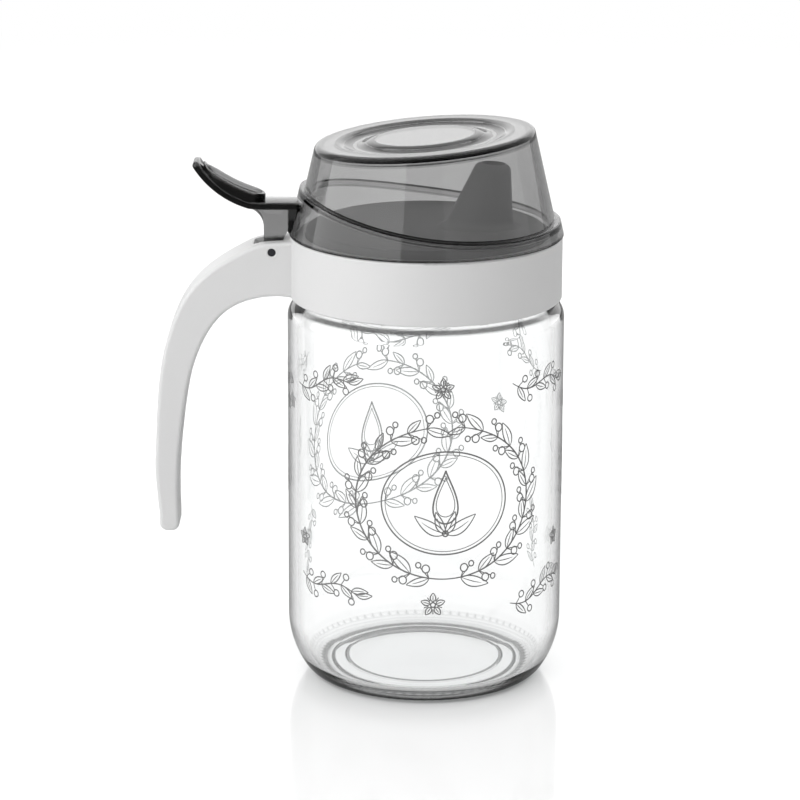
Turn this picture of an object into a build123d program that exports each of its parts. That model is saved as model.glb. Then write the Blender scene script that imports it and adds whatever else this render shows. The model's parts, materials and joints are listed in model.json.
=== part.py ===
from build123d import *
import math
import os

# Oil bottle: a glass jar with a screw collar, a moulded hook handle, a pouring spout and a hinged smoke lid.
# Frame: +Z up, origin at the centre of the foot, +X towards the spout, the handle at -X. Millimetres.

# Glass jar: heel, foot and neck are set in from its side
jar_r = 44.0
jar_wall = 3.0
foot_inset = 12.0
foot_width = 1.8
heel_height = 20.0
heel_small_r = 8.5
inner_heel_small_r = 6.5
floor_thickness = 4.6
pushup_height = 3.6
pushup_ring_inset = 5.2
pushup_step = 0.8
shoulder_z = 118.2
shoulder_r = 5.8
neck_height = 15.0
neck_wall = 3.2
rim_round = 0.8
neck_bead_height = 3.4
neck_bead = 0.9

# Screw collar: stands just over the shoulder, with a lip turned in over the pour insert
collar_gap = 0.4
collar_height = 20.0
collar_bore_clearance = 2.0
collar_wall = 2.9
collar_lip = 2.0
collar_edge_round = 0.6

# Seal ring between the pour insert and the glass rim
seal_thickness = 1.5
seal_overhang = 1.0
seal_inset = 0.3
rim_seat_gap = 0.05

# Pour insert
insert_flange = 1.6
insert_clearance = 0.4
deck_height = 2.8
insert_wall = 1.6
lip_clearance = 0.3
deck_edge_round = 0.7
vent_r = 1.2
vent_inset = 11.9

# Spout, tapering from an oval root on the deck towards a round tip, and cut off short of it at its mouth
spout_root_x = 16.25
spout_root_half_x = 11.15
spout_root_half_y = 8.8
spout_tip_x = 22.1
spout_tip_r = 4.0
spout_tip_height = 25.2
spout_mouth_x = 20.8
spout_height = 20.1
spout_wall = 1.5
spout_mouth_tilt = 2.5
spout_lip_round = 2.6

# Lid: a skirt under a swept ledge, a narrower wall above it and a slanted top
lid_gap = 0.25
lid_overhang = 0.4
lid_draft = 13.0
lid_wall = 2.0
ledge_width = 1.8
ledge_sweep_r = 250.0
ledge_low_inset = 11.5
ledge_low_height = 4.6
lid_top_height = 31.3
lid_top_tilt = 4.9
lid_top_thickness = 2.2
lid_top_round = 1.6
valley_inset = 7.7
valley_width = 9.6
valley_slope = 2.8
valley_depth = 1.4
swell_margin = 1.0
lid_height_limit = 60.0

# Hinge between the lid and the handle, set out from the collar and down from its top
pin_out = 5.55
pin_drop = 4.75
pin_r = 1.3
pin_recess = 0.25
pin_press_clearance = 0.02
pin_run_clearance = 0.08
knuckle_r = 3.4
web_width = 7.0
web_half_depth = 2.6
web_toe_angle = 35.0
web_toe_rise = 1.4
web_root_inset = 0.5
slot_clearance = 0.3
slot_ramp_length = 14.0
lid_open_angle = 45.0

# Bracket and thumb lever on the lid
neck_plate_height = 8.15
neck_plate_thickness = 2.3
neck_plate_width = 10.4
flange_out = 0.1
flange_height = 0.75
gusset_r = 6.4
lever_radius = 30.1
lever_centre_inset = 0.95
lever_thickness = 2.3
lever_width = 10.6
lever_start_angle = 14.0
lever_tip_angle = 60.5
lever_corner_r = 4.6
pad_height = 2.9
pad_tip_height = 1.1
pad_rim = 1.2
pad_dish_depth = 1.5
pad_start_angle = 7.0
pad_end_angle = 57.5
pad_end_flat = 0.6

# Hook handle: each outline point as its distance out from the collar and its drop below the collar's top
handle_top = (6.9, 1.9)
handle_outer = [(15.8, 5.0), (24.9, 10.7), (33.0, 19.4), (38.2, 30.9), (41.8, 49.4), (43.0, 69.4)]
handle_tip_outer = (42.1, 91.4)
handle_tip_inner = (35.8, 91.4)
handle_inner = [(35.9, 80.4), (34.2, 60.4), (28.6, 36.4), (18.0, 22.7), (5.4, 19.2)]
handle_top_drop = 1.4
handle_tip_drop = 97.1
handle_root_drop = 19.7
handle_tip_round = 2.4
handle_width = 15.5
handle_tip_width = 12.0
handle_edge_round = 1.2

# Sizes that follow from the ones above
jar_inner_r = jar_r - jar_wall
foot_outer_r = jar_r - foot_inset
foot_inner_r = foot_outer_r - foot_width
pushup_ring_r = foot_inner_r - pushup_ring_inset
neck_r = jar_r - shoulder_r
neck_bore_r = neck_r - neck_wall
neck_base_z = shoulder_z + shoulder_r
neck_bead_z = neck_base_z + neck_bead_height
rim_z = neck_base_z + neck_height
collar_bore_r = neck_r + collar_bore_clearance
collar_r = collar_bore_r + collar_wall
collar_mouth_r = collar_bore_r - collar_lip
collar_bottom_z = neck_base_z + collar_gap
collar_top_z = collar_bottom_z + collar_height
seal_bottom_z = rim_z + rim_seat_gap
seal_top_z = seal_bottom_z + seal_thickness
seal_outer_r = neck_r + seal_overhang
seal_inner_r = neck_bore_r + seal_inset
flange_top_z = seal_top_z + insert_flange
deck_r = collar_mouth_r - lip_clearance
deck_z = collar_top_z + deck_height
lid_z = collar_top_z + lid_gap
lid_bottom_r = collar_r + lid_overhang
lid_slope = math.tan(math.radians(lid_draft))
lid_top_slope = math.tan(math.radians(lid_top_tilt))
lid_top_r = lid_bottom_r - ledge_width - lid_slope * lid_top_height
valley_outer_r = lid_top_r - valley_inset
valley_inner_r = valley_outer_r - valley_width
pin_x = -collar_r - pin_out
pin_z = collar_top_z - pin_drop
neck_plate_bottom_z = lid_z + neck_plate_height
neck_plate_top_z = neck_plate_bottom_z + neck_plate_thickness
flange_x = -lid_bottom_r - flange_out
flange_bottom_z = lid_z + flange_height
lever_centre_x = pin_x + lever_centre_inset
lever_centre_z = neck_plate_bottom_z + lever_radius * math.cos(math.radians(lever_start_angle))
lever_top_radius = lever_radius - lever_thickness
pad_top_radius = lever_top_radius - pad_height
pad_tip_radius = lever_top_radius - pad_tip_height
web_left_x = pin_x - web_half_depth
gusset_x = web_left_x - gusset_r
gusset_reach = lever_radius + gusset_r
gusset_z = lever_centre_z - math.sqrt(gusset_reach**2 - (gusset_x - lever_centre_x) ** 2)


def side_face(*edges):
    """Closed face in the XZ plane, from edges drawn as (x, z)."""
    return Plane.XZ * make_face(Wire(edges))


def side_polygon(*points):
    """Closed straight-sided face in the XZ plane."""
    return Plane.XZ * make_face(Polyline(*points, close=True))


def turned(face):
    """Solid of revolution about Z."""
    return revolve(face, Axis.Z)


def slab(face, width):
    """Side face given a width along Y, centred on the XZ plane."""
    return extrude(face, width / 2, both=True)


def rod(radius, x, z, width):
    """Cylinder along Y, centred on the XZ plane."""
    return Pos(x, 0, z) * Rot(90, 0, 0) * Cylinder(radius, width)


def lever_point(radius, angle):
    """Point on the thumb lever's arc, its angle counted from straight down towards -X."""
    turn = math.radians(angle)
    return (lever_centre_x - radius * math.sin(turn), lever_centre_z - radius * math.cos(turn))


def lever_arc(radius, start, end):
    middle = lever_point(radius, (start + end) / 2)
    return ThreePointArc(lever_point(radius, start), middle, lever_point(radius, end))


def lever_sector(inner, outer, start, end):
    """Side face between two of the lever's arcs, with a round end."""
    middle = (inner + outer) / 2
    end_turn = math.degrees((outer - inner) / 2 / middle)
    return side_face(
        lever_arc(outer, start, end),
        ThreePointArc(lever_point(outer, end), lever_point(middle, end + end_turn), lever_point(inner, end)),
        lever_arc(inner, end, start),
        Line(lever_point(inner, start), lever_point(outer, start)),
    )


def pad_side(lift, depth, start, end):
    """Side face of the pad: its top is level over most of its length and comes down towards the tip."""
    middle = (pad_start_angle + pad_end_angle) / 2
    top_start = lever_point(pad_top_radius - lift, start)
    top_end = lever_point(pad_tip_radius - lift, end)
    bottom_start = lever_point(pad_top_radius + depth, start)
    bottom_end = lever_point(pad_tip_radius + depth, end)
    return side_face(
        ThreePointArc(top_start, lever_point(pad_top_radius - lift, middle), top_end),
        Line(top_end, bottom_end),
        ThreePointArc(bottom_end, lever_point(pad_top_radius + depth, middle), bottom_start),
        Line(bottom_start, top_start),
    )


def dome_arc(radius, edge_z, centre_z):
    """Arc from the edge of a shallow dome to its centre on the axis, level at the centre."""
    rise = centre_z - edge_z
    ball = (radius**2 + rise**2) / (2 * abs(rise))
    half_drop = ball - math.sqrt(ball**2 - radius**2 / 4)
    half_z = centre_z - math.copysign(half_drop, rise)
    return ThreePointArc((radius, edge_z), (radius / 2, half_z), (0, centre_z))


def heel_arcs(foot_r, foot_z, wall_r, wall_z, small_r):
    """Two tangent arcs, a small one level at the foot and a large one upright at the wall."""
    across, up = wall_r - foot_r, wall_z - foot_z
    large_r = (across**2 + up**2 - 2 * up * small_r) / (2 * (across - small_r))
    small_centre = (foot_r, foot_z + small_r)
    large_centre = (wall_r - large_r, wall_z)
    turn = math.degrees(math.atan2(small_centre[1] - large_centre[1], small_centre[0] - large_centre[0]))
    return [CenterArc(small_centre, small_r, -90, turn + 90), CenterArc(large_centre, large_r, turn, -turn)]


def make_glass_jar():
    """Jar with an oval heel, a thick stepped floor, a rounded shoulder and a plain neck with a bead."""
    floor_z = pushup_height + floor_thickness
    inner_heel_z = heel_height + jar_wall / 2
    inner_floor_r = foot_inner_r - jar_wall / 2
    inner_floor_z = floor_thickness + pushup_step
    inner_shoulder_r = jar_inner_r - neck_bore_r
    step_r = pushup_ring_r + pushup_step
    bead_top = (neck_r, neck_bead_z + neck_bead)
    profile = [
        Line((foot_inner_r, 0), (foot_outer_r, 0)),
        *heel_arcs(foot_outer_r, 0, jar_r, heel_height, heel_small_r),
        Line((jar_r, heel_height), (jar_r, shoulder_z)),
        CenterArc((neck_r, shoulder_z), shoulder_r, 0, 90),
        Line((neck_r, shoulder_z + shoulder_r), (neck_r, neck_bead_z - neck_bead)),
        ThreePointArc((neck_r, neck_bead_z - neck_bead), (neck_r + neck_bead, neck_bead_z), bead_top),
        Line(bead_top, (neck_r, rim_z - rim_round)),
        CenterArc((neck_r - rim_round, rim_z - rim_round), rim_round, 0, 90),
        Line((neck_r - rim_round, rim_z), (neck_bore_r + rim_round, rim_z)),
        CenterArc((neck_bore_r + rim_round, rim_z - rim_round), rim_round, 90, 90),
        Line((neck_bore_r, rim_z - rim_round), (neck_bore_r, shoulder_z + inner_shoulder_r)),
        ThreePointArc(
            (neck_bore_r, shoulder_z + inner_shoulder_r),
            (neck_bore_r + inner_shoulder_r * math.sqrt(0.5), shoulder_z + inner_shoulder_r * math.sqrt(0.5)),
            (jar_inner_r, shoulder_z),
        ),
        Line((jar_inner_r, shoulder_z), (jar_inner_r, inner_heel_z)),
        *heel_arcs(inner_floor_r, inner_floor_z, jar_inner_r, inner_heel_z, inner_heel_small_r),
        dome_arc(inner_floor_r, inner_floor_z, floor_z),
        Line((0, floor_z), (0, pushup_height)),
        dome_arc(pushup_ring_r, pushup_height - pushup_step, pushup_height),
        Line((pushup_ring_r, pushup_height - pushup_step), (step_r, pushup_height - 2 * pushup_step)),
        Line((step_r, pushup_height - 2 * pushup_step), (foot_inner_r, 0)),
    ]
    return turned(side_face(*profile))


def make_seal_ring():
    """Flat washer on the glass rim."""
    washer = Cylinder(seal_outer_r, seal_thickness) - Cylinder(seal_inner_r, seal_thickness)
    return Pos(0, 0, seal_bottom_z + seal_thickness / 2) * washer


def handle_point(out, drop):
    """Point in the XZ plane, from its distance out from the collar and its drop below the collar's top."""
    return (-collar_r - out, collar_top_z - drop)


def handle_blank():
    """Hook handle, narrower towards its open tip, and the long edges to be rounded."""
    inside = -collar_wall / 2
    outer = [handle_point(*point) for point in (handle_top, *handle_outer, handle_tip_outer)]
    inner = [handle_point(*point) for point in (handle_tip_inner, *handle_inner, (inside, handle_root_drop))]
    low_outer = handle_point(handle_tip_outer[0], handle_tip_drop)
    low_inner = handle_point(handle_tip_inner[0], handle_tip_drop)
    top_inside = handle_point(inside, handle_top_drop)
    outline = side_face(
        Line(top_inside, outer[0]),
        Spline(*outer, tangents=((-1, -0.08), (0.1, -1))),
        Line(outer[-1], low_outer),
        Line(low_outer, low_inner),
        Line(low_inner, inner[0]),
        Spline(*inner, tangents=((-0.04, 1), (1, -0.15))),
        Line(inner[-1], top_inside),
    )
    outline = fillet(outline.vertices().group_by(Axis.Z)[0], handle_tip_round)
    taper = make_face(
        Polyline(
            (-handle_width / 2, top_inside[1]),
            (handle_width / 2, top_inside[1]),
            (handle_tip_width / 2, low_outer[1]),
            (-handle_tip_width / 2, low_outer[1]),
            close=True,
        )
    )
    wedge = Pos(-jar_r, 0, 0) * extrude(Plane.YZ * taper, 2 * jar_r, both=True)
    blank = slab(outline, handle_width) & wedge
    side_edges = [edge for edge in blank.edges() if abs(edge.center().Y) > handle_tip_width / 4]
    return blank, [edge for edge in side_edges if edge.bounding_box().min.X < -collar_r]


def make_screw_collar():
    """Collar with an inward lip, and the hook handle moulded on, slotted for the lid's web."""
    blank, long_edges = handle_blank()
    handle = fillet(long_edges, handle_edge_round)
    ring = Pos(0, 0, collar_bottom_z + collar_height / 2) * Cylinder(collar_r, collar_height)
    ring = fillet(ring.edges().filter_by(GeomType.CIRCLE), collar_edge_round)
    bore_height = flange_top_z - collar_bottom_z
    bore = Pos(0, 0, collar_bottom_z + bore_height / 2) * Cylinder(collar_bore_r, bore_height)
    mouth = Pos(0, 0, collar_top_z) * Cylinder(collar_mouth_r, collar_height)
    body = ring + handle - bore - mouth
    return body - hinge_slot() - rod(pin_r + pin_press_clearance, pin_x, pin_z, 2 * handle_width)


def hinge_slot():
    """Slot for the web and its knuckle, with a ramp that the open web comes to rest along."""
    reach = knuckle_r + slot_clearance
    ramp_reach = web_half_depth + slot_clearance
    turn = math.radians(lid_open_angle)
    ramp_foot = (pin_x - ramp_reach * math.cos(turn), pin_z - ramp_reach * math.sin(turn))
    ramp_top_x = ramp_foot[0] - slot_ramp_length * math.sin(turn)
    ramp_top = (ramp_top_x, ramp_foot[1] + slot_ramp_length * math.cos(turn))
    front_x = pin_x + reach
    channel = side_polygon((pin_x, pin_z), ramp_foot, ramp_top, (front_x, ramp_top[1]), (front_x, pin_z))
    width = web_width + 2 * slot_clearance
    return slab(channel, width) + rod(reach, pin_x, pin_z, width)


def make_hinge_pin():
    """Plain pin pressed through both cheeks of the handle."""
    return rod(pin_r, pin_x, pin_z, handle_width - 2 * pin_recess)


def spout_loft(wall, bottom_z, top_z):
    """Tapered spout, oval at the root and round at the tip, less a wall all round."""
    root = Pos(spout_root_x, 0, bottom_z) * Ellipse(spout_root_half_x - wall, spout_root_half_y - wall)
    tip = Pos(spout_tip_x, 0, top_z) * Circle(spout_tip_r - wall)
    return loft([root.face(), tip.face()])


def make_pour_insert():
    """Cup-shaped insert with a flange, a raised deck, a spout that slants forwards and an air vent."""
    cup = turned(
        side_polygon(
            (0, deck_z),
            (deck_r, deck_z),
            (deck_r, flange_top_z),
            (collar_bore_r - insert_clearance, flange_top_z),
            (collar_bore_r - insert_clearance, seal_top_z),
            (deck_r - insert_wall, seal_top_z),
            (deck_r - insert_wall, deck_z - insert_wall),
            (0, deck_z - insert_wall),
        )
    )
    deck_edge = cup.edges().filter_by(GeomType.CIRCLE).group_by(Axis.Z)[-1]
    cup = fillet(deck_edge, deck_edge_round)
    top_z = deck_z + spout_tip_height
    outer = spout_loft(0, deck_z - insert_wall / 2, top_z)
    inner = spout_loft(spout_wall, deck_z - 2 * insert_wall, top_z)
    mouth = Pos(spout_mouth_x, 0, deck_z + spout_height) * Rot(0, spout_mouth_tilt, 0)
    mouth_cut = mouth * Pos(0, 0, jar_r) * Box(jar_r, jar_r, 2 * jar_r)
    vent = Pos(vent_inset - deck_r, 0, deck_z) * Cylinder(vent_r, 4 * insert_wall)
    spout = outer - mouth_cut
    spout = fillet(spout.faces().sort_by(Axis.Z)[-1].edges(), spout_lip_round)
    return cup + spout - inner - vent


def lid_cone(bottom_r):
    """Solid cone with the lid's draft, standing on the lid's bottom."""
    top_r = bottom_r - lid_slope * lid_height_limit
    cone = Cone(bottom_r, top_r, lid_height_limit)
    return Pos(0, 0, lid_z + lid_height_limit / 2) * cone


def above_ledge(drop):
    """Everything above the swept ledge, lowered by drop: a large cylinder across the lid."""
    centre_z = lid_z + ledge_low_height + ledge_sweep_r
    return rod(ledge_sweep_r + drop, lid_bottom_r - ledge_low_inset, centre_z, 4 * jar_r)


def above_top(drop):
    """Everything above the slanted top, lowered by drop."""
    size = 4 * jar_r
    top = Pos(0, 0, lid_z + lid_top_height) * Rot(0, -lid_top_tilt, 0)
    return top * Pos(0, 0, size / 2 - drop) * Box(size, size, size)


def top_valley():
    """Ring-shaped valley pressed into the slanted top, and the matching swell under it."""
    centre_x = -lid_top_r * lid_slope * lid_top_slope
    seat = Pos(centre_x, 0, lid_z + lid_top_height + centre_x * lid_top_slope) * Rot(0, -lid_top_tilt, 0)
    ring = side_polygon(
        (valley_inner_r, 0),
        (valley_inner_r + valley_slope, -valley_depth),
        (valley_outer_r - valley_slope, -valley_depth),
        (valley_outer_r, 0),
        (valley_outer_r, lid_top_thickness),
        (valley_inner_r, lid_top_thickness),
    )
    valley = seat * turned(ring)
    under = side_polygon(
        (valley_inner_r - swell_margin, -lid_top_thickness / 2),
        (valley_inner_r - swell_margin, -lid_top_thickness),
        (valley_inner_r - swell_margin + valley_slope, -lid_top_thickness - valley_depth),
        (valley_outer_r + swell_margin - valley_slope, -lid_top_thickness - valley_depth),
        (valley_outer_r + swell_margin, -lid_top_thickness),
        (valley_outer_r + swell_margin, -lid_top_thickness / 2),
    )
    swell = seat * turned(under)
    return valley, swell


def lid_bracket():
    """Neck plate, flange against the skirt, web with its knuckle, and the rounded corner under the lever."""
    neck_start_x = lever_point(lever_radius, lever_start_angle)[0]
    reach_x = -(lid_bottom_r - ledge_width - lid_wall)
    bar = side_polygon(
        (neck_start_x, neck_plate_bottom_z),
        (flange_x, neck_plate_bottom_z),
        (flange_x, flange_bottom_z),
        (reach_x, flange_bottom_z),
        (reach_x, neck_plate_top_z),
        (neck_start_x, neck_plate_top_z),
    )
    plate_z = neck_plate_bottom_z + lever_thickness / 2
    touch_angle = math.asin((lever_centre_x - gusset_x) / gusset_reach)
    toe_angle = math.radians(web_toe_angle)
    web_face = side_polygon(
        (web_left_x, pin_z),
        (web_left_x, gusset_z),
        (gusset_x, gusset_z),
        lever_point(lever_radius - lever_thickness / 2, math.degrees(touch_angle)),
        (neck_start_x, plate_z),
        (flange_x + web_root_inset, plate_z),
        (flange_x + web_root_inset, flange_bottom_z + web_toe_rise),
        (pin_x + knuckle_r * math.cos(toe_angle), pin_z + knuckle_r * math.sin(toe_angle)),
        (pin_x, pin_z),
    )
    web = slab(web_face, web_width) - rod(gusset_r, gusset_x, gusset_z, 2 * web_width)
    return slab(bar, neck_plate_width) + web + rod(knuckle_r, pin_x, pin_z, web_width)


def tall(outline):
    """Plan outline made into a cutter that reaches past the lever, above and below."""
    return Pos(0, 0, pin_z) * extrude(outline, 2 * lever_radius)


def lever_outline():
    """Lever from above: a strip with a rounded tip."""
    tip_x = lever_point(lever_radius, lever_tip_angle)[0] - lever_thickness / 2
    strip = Pos((tip_x - pin_x) / 2 + pin_x, 0) * Rectangle(pin_x - tip_x, lever_width)
    return fillet(strip.vertices().group_by(Axis.X)[0], lever_corner_r)


def pad_outline(inset):
    """Pad from above: a rounded strip, flush with the lever's sides, or the dish inside its rim."""
    left = lever_point(pad_tip_radius, pad_end_angle)[0] + inset
    right = lever_point(pad_top_radius, pad_start_angle)[0] - inset
    half = lever_width / 2 - inset
    return Pos((left + right) / 2, 0) * RectangleRounded(right - left, 2 * half, half - pad_end_flat)


def make_thumb_lever():
    """Curved lever plate with a raised, dished pad."""
    plate_side = lever_sector(lever_top_radius, lever_radius, lever_start_angle, lever_tip_angle)
    pad_face = pad_side(0, pad_height + lever_thickness / 2, 0, pad_end_angle)
    dish_face = pad_side(pad_height, pad_dish_depth, 0, pad_end_angle)
    plate = slab(plate_side, lever_width) & tall(lever_outline())
    pad = slab(pad_face, lever_width) & tall(pad_outline(0))
    dish = slab(dish_face, lever_width) & tall(pad_outline(pad_rim))
    return plate + pad - dish


def make_flip_lid():
    """One-piece lid: skirt, swept ledge, wall, slanted top with its valley, bracket and thumb lever."""
    wall_bottom_r = lid_bottom_r - ledge_width
    valley, swell = top_valley()
    outside = (lid_cone(lid_bottom_r) - above_ledge(0)) + (lid_cone(wall_bottom_r) - above_top(0))
    outside = fillet(outside.edges().sort_by(Axis.Z)[-1], lid_top_round)
    cavity = (lid_cone(lid_bottom_r - lid_wall) - above_ledge(lid_wall)) + (
        lid_cone(wall_bottom_r - lid_wall) - above_top(lid_top_thickness)
    )
    lid = outside + lid_bracket() - cavity + swell + make_thumb_lever() - valley
    return lid - rod(pin_r + pin_run_clearance, pin_x, pin_z, 2 * web_width)


parts = {
    "glass_jar": make_glass_jar(),
    "seal_ring": make_seal_ring(),
    "screw_collar": make_screw_collar(),
    "pour_insert": make_pour_insert(),
    "hinge_pin": make_hinge_pin(),
    "flip_lid": make_flip_lid(),
}

os.makedirs("parts", exist_ok=True)
for name, shape in parts.items():
    shape.label = name
    export_step(shape, os.path.join("parts", name + ".step"))
    print(name, "solids", len(shape.solids()), "volume", round(shape.volume, 1), "valid", shape.is_valid)
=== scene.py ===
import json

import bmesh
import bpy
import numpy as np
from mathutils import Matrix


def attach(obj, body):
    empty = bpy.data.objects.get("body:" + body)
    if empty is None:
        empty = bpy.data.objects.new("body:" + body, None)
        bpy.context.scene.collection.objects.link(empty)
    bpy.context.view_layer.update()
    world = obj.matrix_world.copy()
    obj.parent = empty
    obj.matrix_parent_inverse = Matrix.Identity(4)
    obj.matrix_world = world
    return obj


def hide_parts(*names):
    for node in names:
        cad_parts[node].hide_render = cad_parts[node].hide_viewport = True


bl_info = {
    "name": "Oil Bottle Studio",
    "version": (1, 0, 0),
    "blender": (4, 5, 0),
    "location": "View3D > Sidebar > Oil Bottle",
    "description": "Builds the finished pieces of a glass oil bottle over its CAD frame, and its studio",
    "category": "Object",
}

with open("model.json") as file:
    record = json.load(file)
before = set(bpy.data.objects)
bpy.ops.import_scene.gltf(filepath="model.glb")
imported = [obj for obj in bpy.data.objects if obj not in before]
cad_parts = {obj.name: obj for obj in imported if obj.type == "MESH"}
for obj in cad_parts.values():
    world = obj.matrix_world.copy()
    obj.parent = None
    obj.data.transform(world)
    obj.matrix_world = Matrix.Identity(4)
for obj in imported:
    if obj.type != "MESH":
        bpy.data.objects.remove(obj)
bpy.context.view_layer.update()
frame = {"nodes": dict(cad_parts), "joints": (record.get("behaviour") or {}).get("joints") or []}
LID_HINGE = next(joint for joint in frame["joints"] if joint["name"] == "lid_hinge")

MM = 0.001

# Glass jar, in millimetres. Its floor and lower corner are a little thinner inside than the CAD's
JAR_R = 44.0
JAR_SKIN = 0.05
JAR_STEPS = 480
JAR_WALL = 3.0
FOOT_OUTER_R = 32.0
FOOT_INNER_R = 30.2
HEEL_Z = 20.0
HEEL_SMALL_R = 8.5
INNER_FLOOR_R = 33.0
INNER_FLOOR_Z = 4.5
INNER_HEEL_Z = 20.0
INNER_HEEL_SMALL_R = 5.5
FLOOR_Z = 5.6
# Spacing of the bands of painted shade up the heel
HEEL_SHADE_PERIOD = 1.3
DASHES = 80
DASH_Z = 4.9
DASH_HALF_HEIGHT = 0.6
DASH_DEPTH = 0.03
# Painted shade along the foot's ribs
DASH_SHADE = 0.75
FOOT_BAND_R = FOOT_OUTER_R + 2.0
FOOT_BAND_HALF = 1.9
FOOT_BAND_DEPTH = 0.12
# Share of painted shade on the band round the foot
FOOT_BAND_SHADE = 0.15
PUSHUP_Z = 3.6
PUSHUP_RING_R = 25.0
PUSHUP_STEP = 0.8
DOME_R = PUSHUP_RING_R - 1.5
DOME_RISE = 0.72
SHOULDER_Z = 118.2
SHOULDER_TURN = 86.0
NECK_R = 38.2
NECK_BORE_R = 35.0
NECK_BEAD_Z = 127.4
NECK_BEAD = 0.9
NECK_ROOT_R = 0.5
RIM_Z = 139.0
RIM_ROUND = 0.8
INNER_MARK = -1

# Closure
COLLAR_BORE_R = 40.2
SEAL_BOTTOM_Z = 139.05
SEAL_THICKNESS = 1.5
SEAL_INNER_R = 35.3
SEAL_OUTER_R = 39.2
SEAL_GROOVE = 0.25
SEAL_GROOVE_HALF = (1.0, 0.6)
DECK_Z = 147.2
THREAD_LEAD = 12.0
THREAD_STARTS = 4
THREAD_TURN = 180.0
THREAD_SHIFT = 20.0
THREAD_SINK = 0.3

# Spout, which stands on the deck of the pour insert
SPOUT_ROOT_X = 16.25
SPOUT_ROOT_HALF = (11.15, 8.8)
SPOUT_TIP_X = 22.1
SPOUT_TIP_R = 4.0
SPOUT_TIP_HEIGHT = 25.2
SPOUT_ROOT_SINK = 0.8
SPOUT_FILLET_R = 2.6
SPOUT_SKIN = 0.4

# Lid
LID_STEPS = 288
LID_SKIN = 0.02
LID_Z = 144.65
LID_R = 43.5
LID_WALL_R = 41.7
LID_WALL = 2.0
LID_SLOPE = np.tan(np.radians(13.0))
LEDGE_SWEEP_R = 250.0
LEDGE_LOW_X = 32.0
LEDGE_LOW_HEIGHT = 4.6
LID_TOP_HEIGHT = 31.3
LID_TOP_SLOPE = np.tan(np.radians(4.9))
LID_TOP_THICKNESS = 2.2
VALLEY_OUTER_R = 26.77
VALLEY_INNER_R = 17.17
VALLEY_RUN = 2.8
VALLEY_DEPTH = 1.4
SWELL_MARGIN = 1.0

# Hinge and lever
PIN_X = LID_HINGE["pos_m"][0] / MM
PIN_Z = LID_HINGE["pos_m"][2] / MM
KNUCKLE_R = 3.4
KNUCKLE_TURN = 395.0
WEB_WIDTH = 7.0
WEB_HALF_DEPTH = 2.6
WEB_SINK = 0.5
TOE_RISE = 1.4
PLATE_Z = 152.8
PLATE_THICKNESS = 2.3
PLATE_WIDTH = 10.4
CHEEK_Y = 7.69
FLANGE_X = -43.6
FLANGE_Z = 145.4
FLANGE_THICKNESS = 1.6
FLANGE_FLARE = 1.2
FLANGE_OVERLAP = 0.4
BRACKET_EDGE = 0.3
GUSSET_R = 6.4
LEVER_R = 30.1
LEVER_X = -47.7
LEVER_START = np.radians(14.0)
LEVER_TIP = np.radians(60.5)
LEVER_WIDTH = 10.6
LEVER_CORNER_R = 1.7
LEVER_BLUNT = 1.1
LEVER_EDGE = 0.55
LEVER_ROOT_X = -40.7
LEVER_RUN_X = -53.6
LEVER_Z = PLATE_Z + LEVER_R * np.cos(LEVER_START)
PAD_START = np.radians(7.0)
PAD_END = np.radians(57.5)
PAD_HEIGHT = 2.9
PAD_TIP_HEIGHT = 1.1
PAD_DISH = 1.5
PAD_RIM = 1.2
PAD_MARGIN = 0.1
PAD_SINK = 0.35
PAD_RIB_SPACING = 0.95
PAD_RIB = 0.16

# Section of the pad, from its side over the rim into the dish: distance in from the side, and depth
PAD_SECTION = (
    (0.0, 0.45),
    (0.02, 0.25),
    (0.1, 0.1),
    (0.22, 0.02),
    (0.4, 0.0),
    (0.75, 0.0),
    (0.92, 0.03),
    (1.05, 0.15),
    (1.12, 0.5),
    (1.2, 0.95),
    (1.35, 1.2),
    (1.7, 1.36),
    (2.3, 1.45),
    (3.1, PAD_DISH),
    (4.0, PAD_DISH),
    (4.7, PAD_DISH),
)

# Print: half sizes, leaves and places of the wreaths, in front along the glass, and at the back in turns
WREATH_HALF = (29.0, 24.6)
OVAL_HALF = (20.2, 16.6)
DROP_HALF = (5.6, 8.6)
DROP_RISE = 2.0
WREATH_LEAVES = 14
LONG_LEAF = 9.6
SHORT_LEAF = 7.4
LEAF_STEP = 0.13
LEAF_SLIM = 0.36
WREATH_LEVEL = 68.5
WREATH_FRONT = 6.5
WREATH_BACK = 0.57

# Reach from the branch and radius of each leaf's berries, and angle and length of the leaves under the drop
BERRIES = ((3.2, 1.3), (5.4, 0.9))
SPRAY = ((14, 10.8), (50, 7.4), (130, 7.4), (166, 10.8))
SPRAY_DROP = 9.8

# Places of the small prints: share of a turn from the front, height, size, and lean in degrees
TWIGS = (
    (-0.135, 103.0, 25.0, 10.0),
    (0.15, 103.0, 25.0, -8.0),
    (0.15, 35.0, 25.0, 8.0),
    (-0.125, 38.0, 25.0, -6.0),
    (0.24, 68.0, 20.0, 75.0),
    (-0.25, 70.0, 20.0, 105.0),
    (0.35, 98.0, 21.0, 12.0),
    (0.33, 38.0, 20.0, 80.0),
    (0.69, 40.0, 20.0, -80.0),
    (0.73, 100.0, 21.0, -10.0),
)
FLORETS = (
    (0.02, 105.0, 4.4),
    (0.24, 92.0, 3.8),
    (0.01, 35.5, 4.8),
    (-0.165, 51.0, 3.8),
    (0.19, 50.0, 3.8),
    (-0.22, 92.0, 3.6),
    (0.4, 80.0, 4.2),
)

# Painted shade of the clear glass over 1 - cos of the view angle, and its shadow over 1 + the normal's z
GLASS_SHADE_STOPS = (
    (0.55, 1.0),
    (0.64, 0.84),
    (0.69, 0.62),
    (0.74, 0.42),
    (0.8, 0.25),
    (0.87, 0.08),
    (0.94, 0.04),
    (1.0, 0.15),
)
GLASS_CAST = ((0.0, 1.0), (0.01, 1.0), (0.03, 0.3), (0.1, 0.35), (0.18, 0.85), (0.6, 0.9), (0.85, 1.0))
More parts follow.
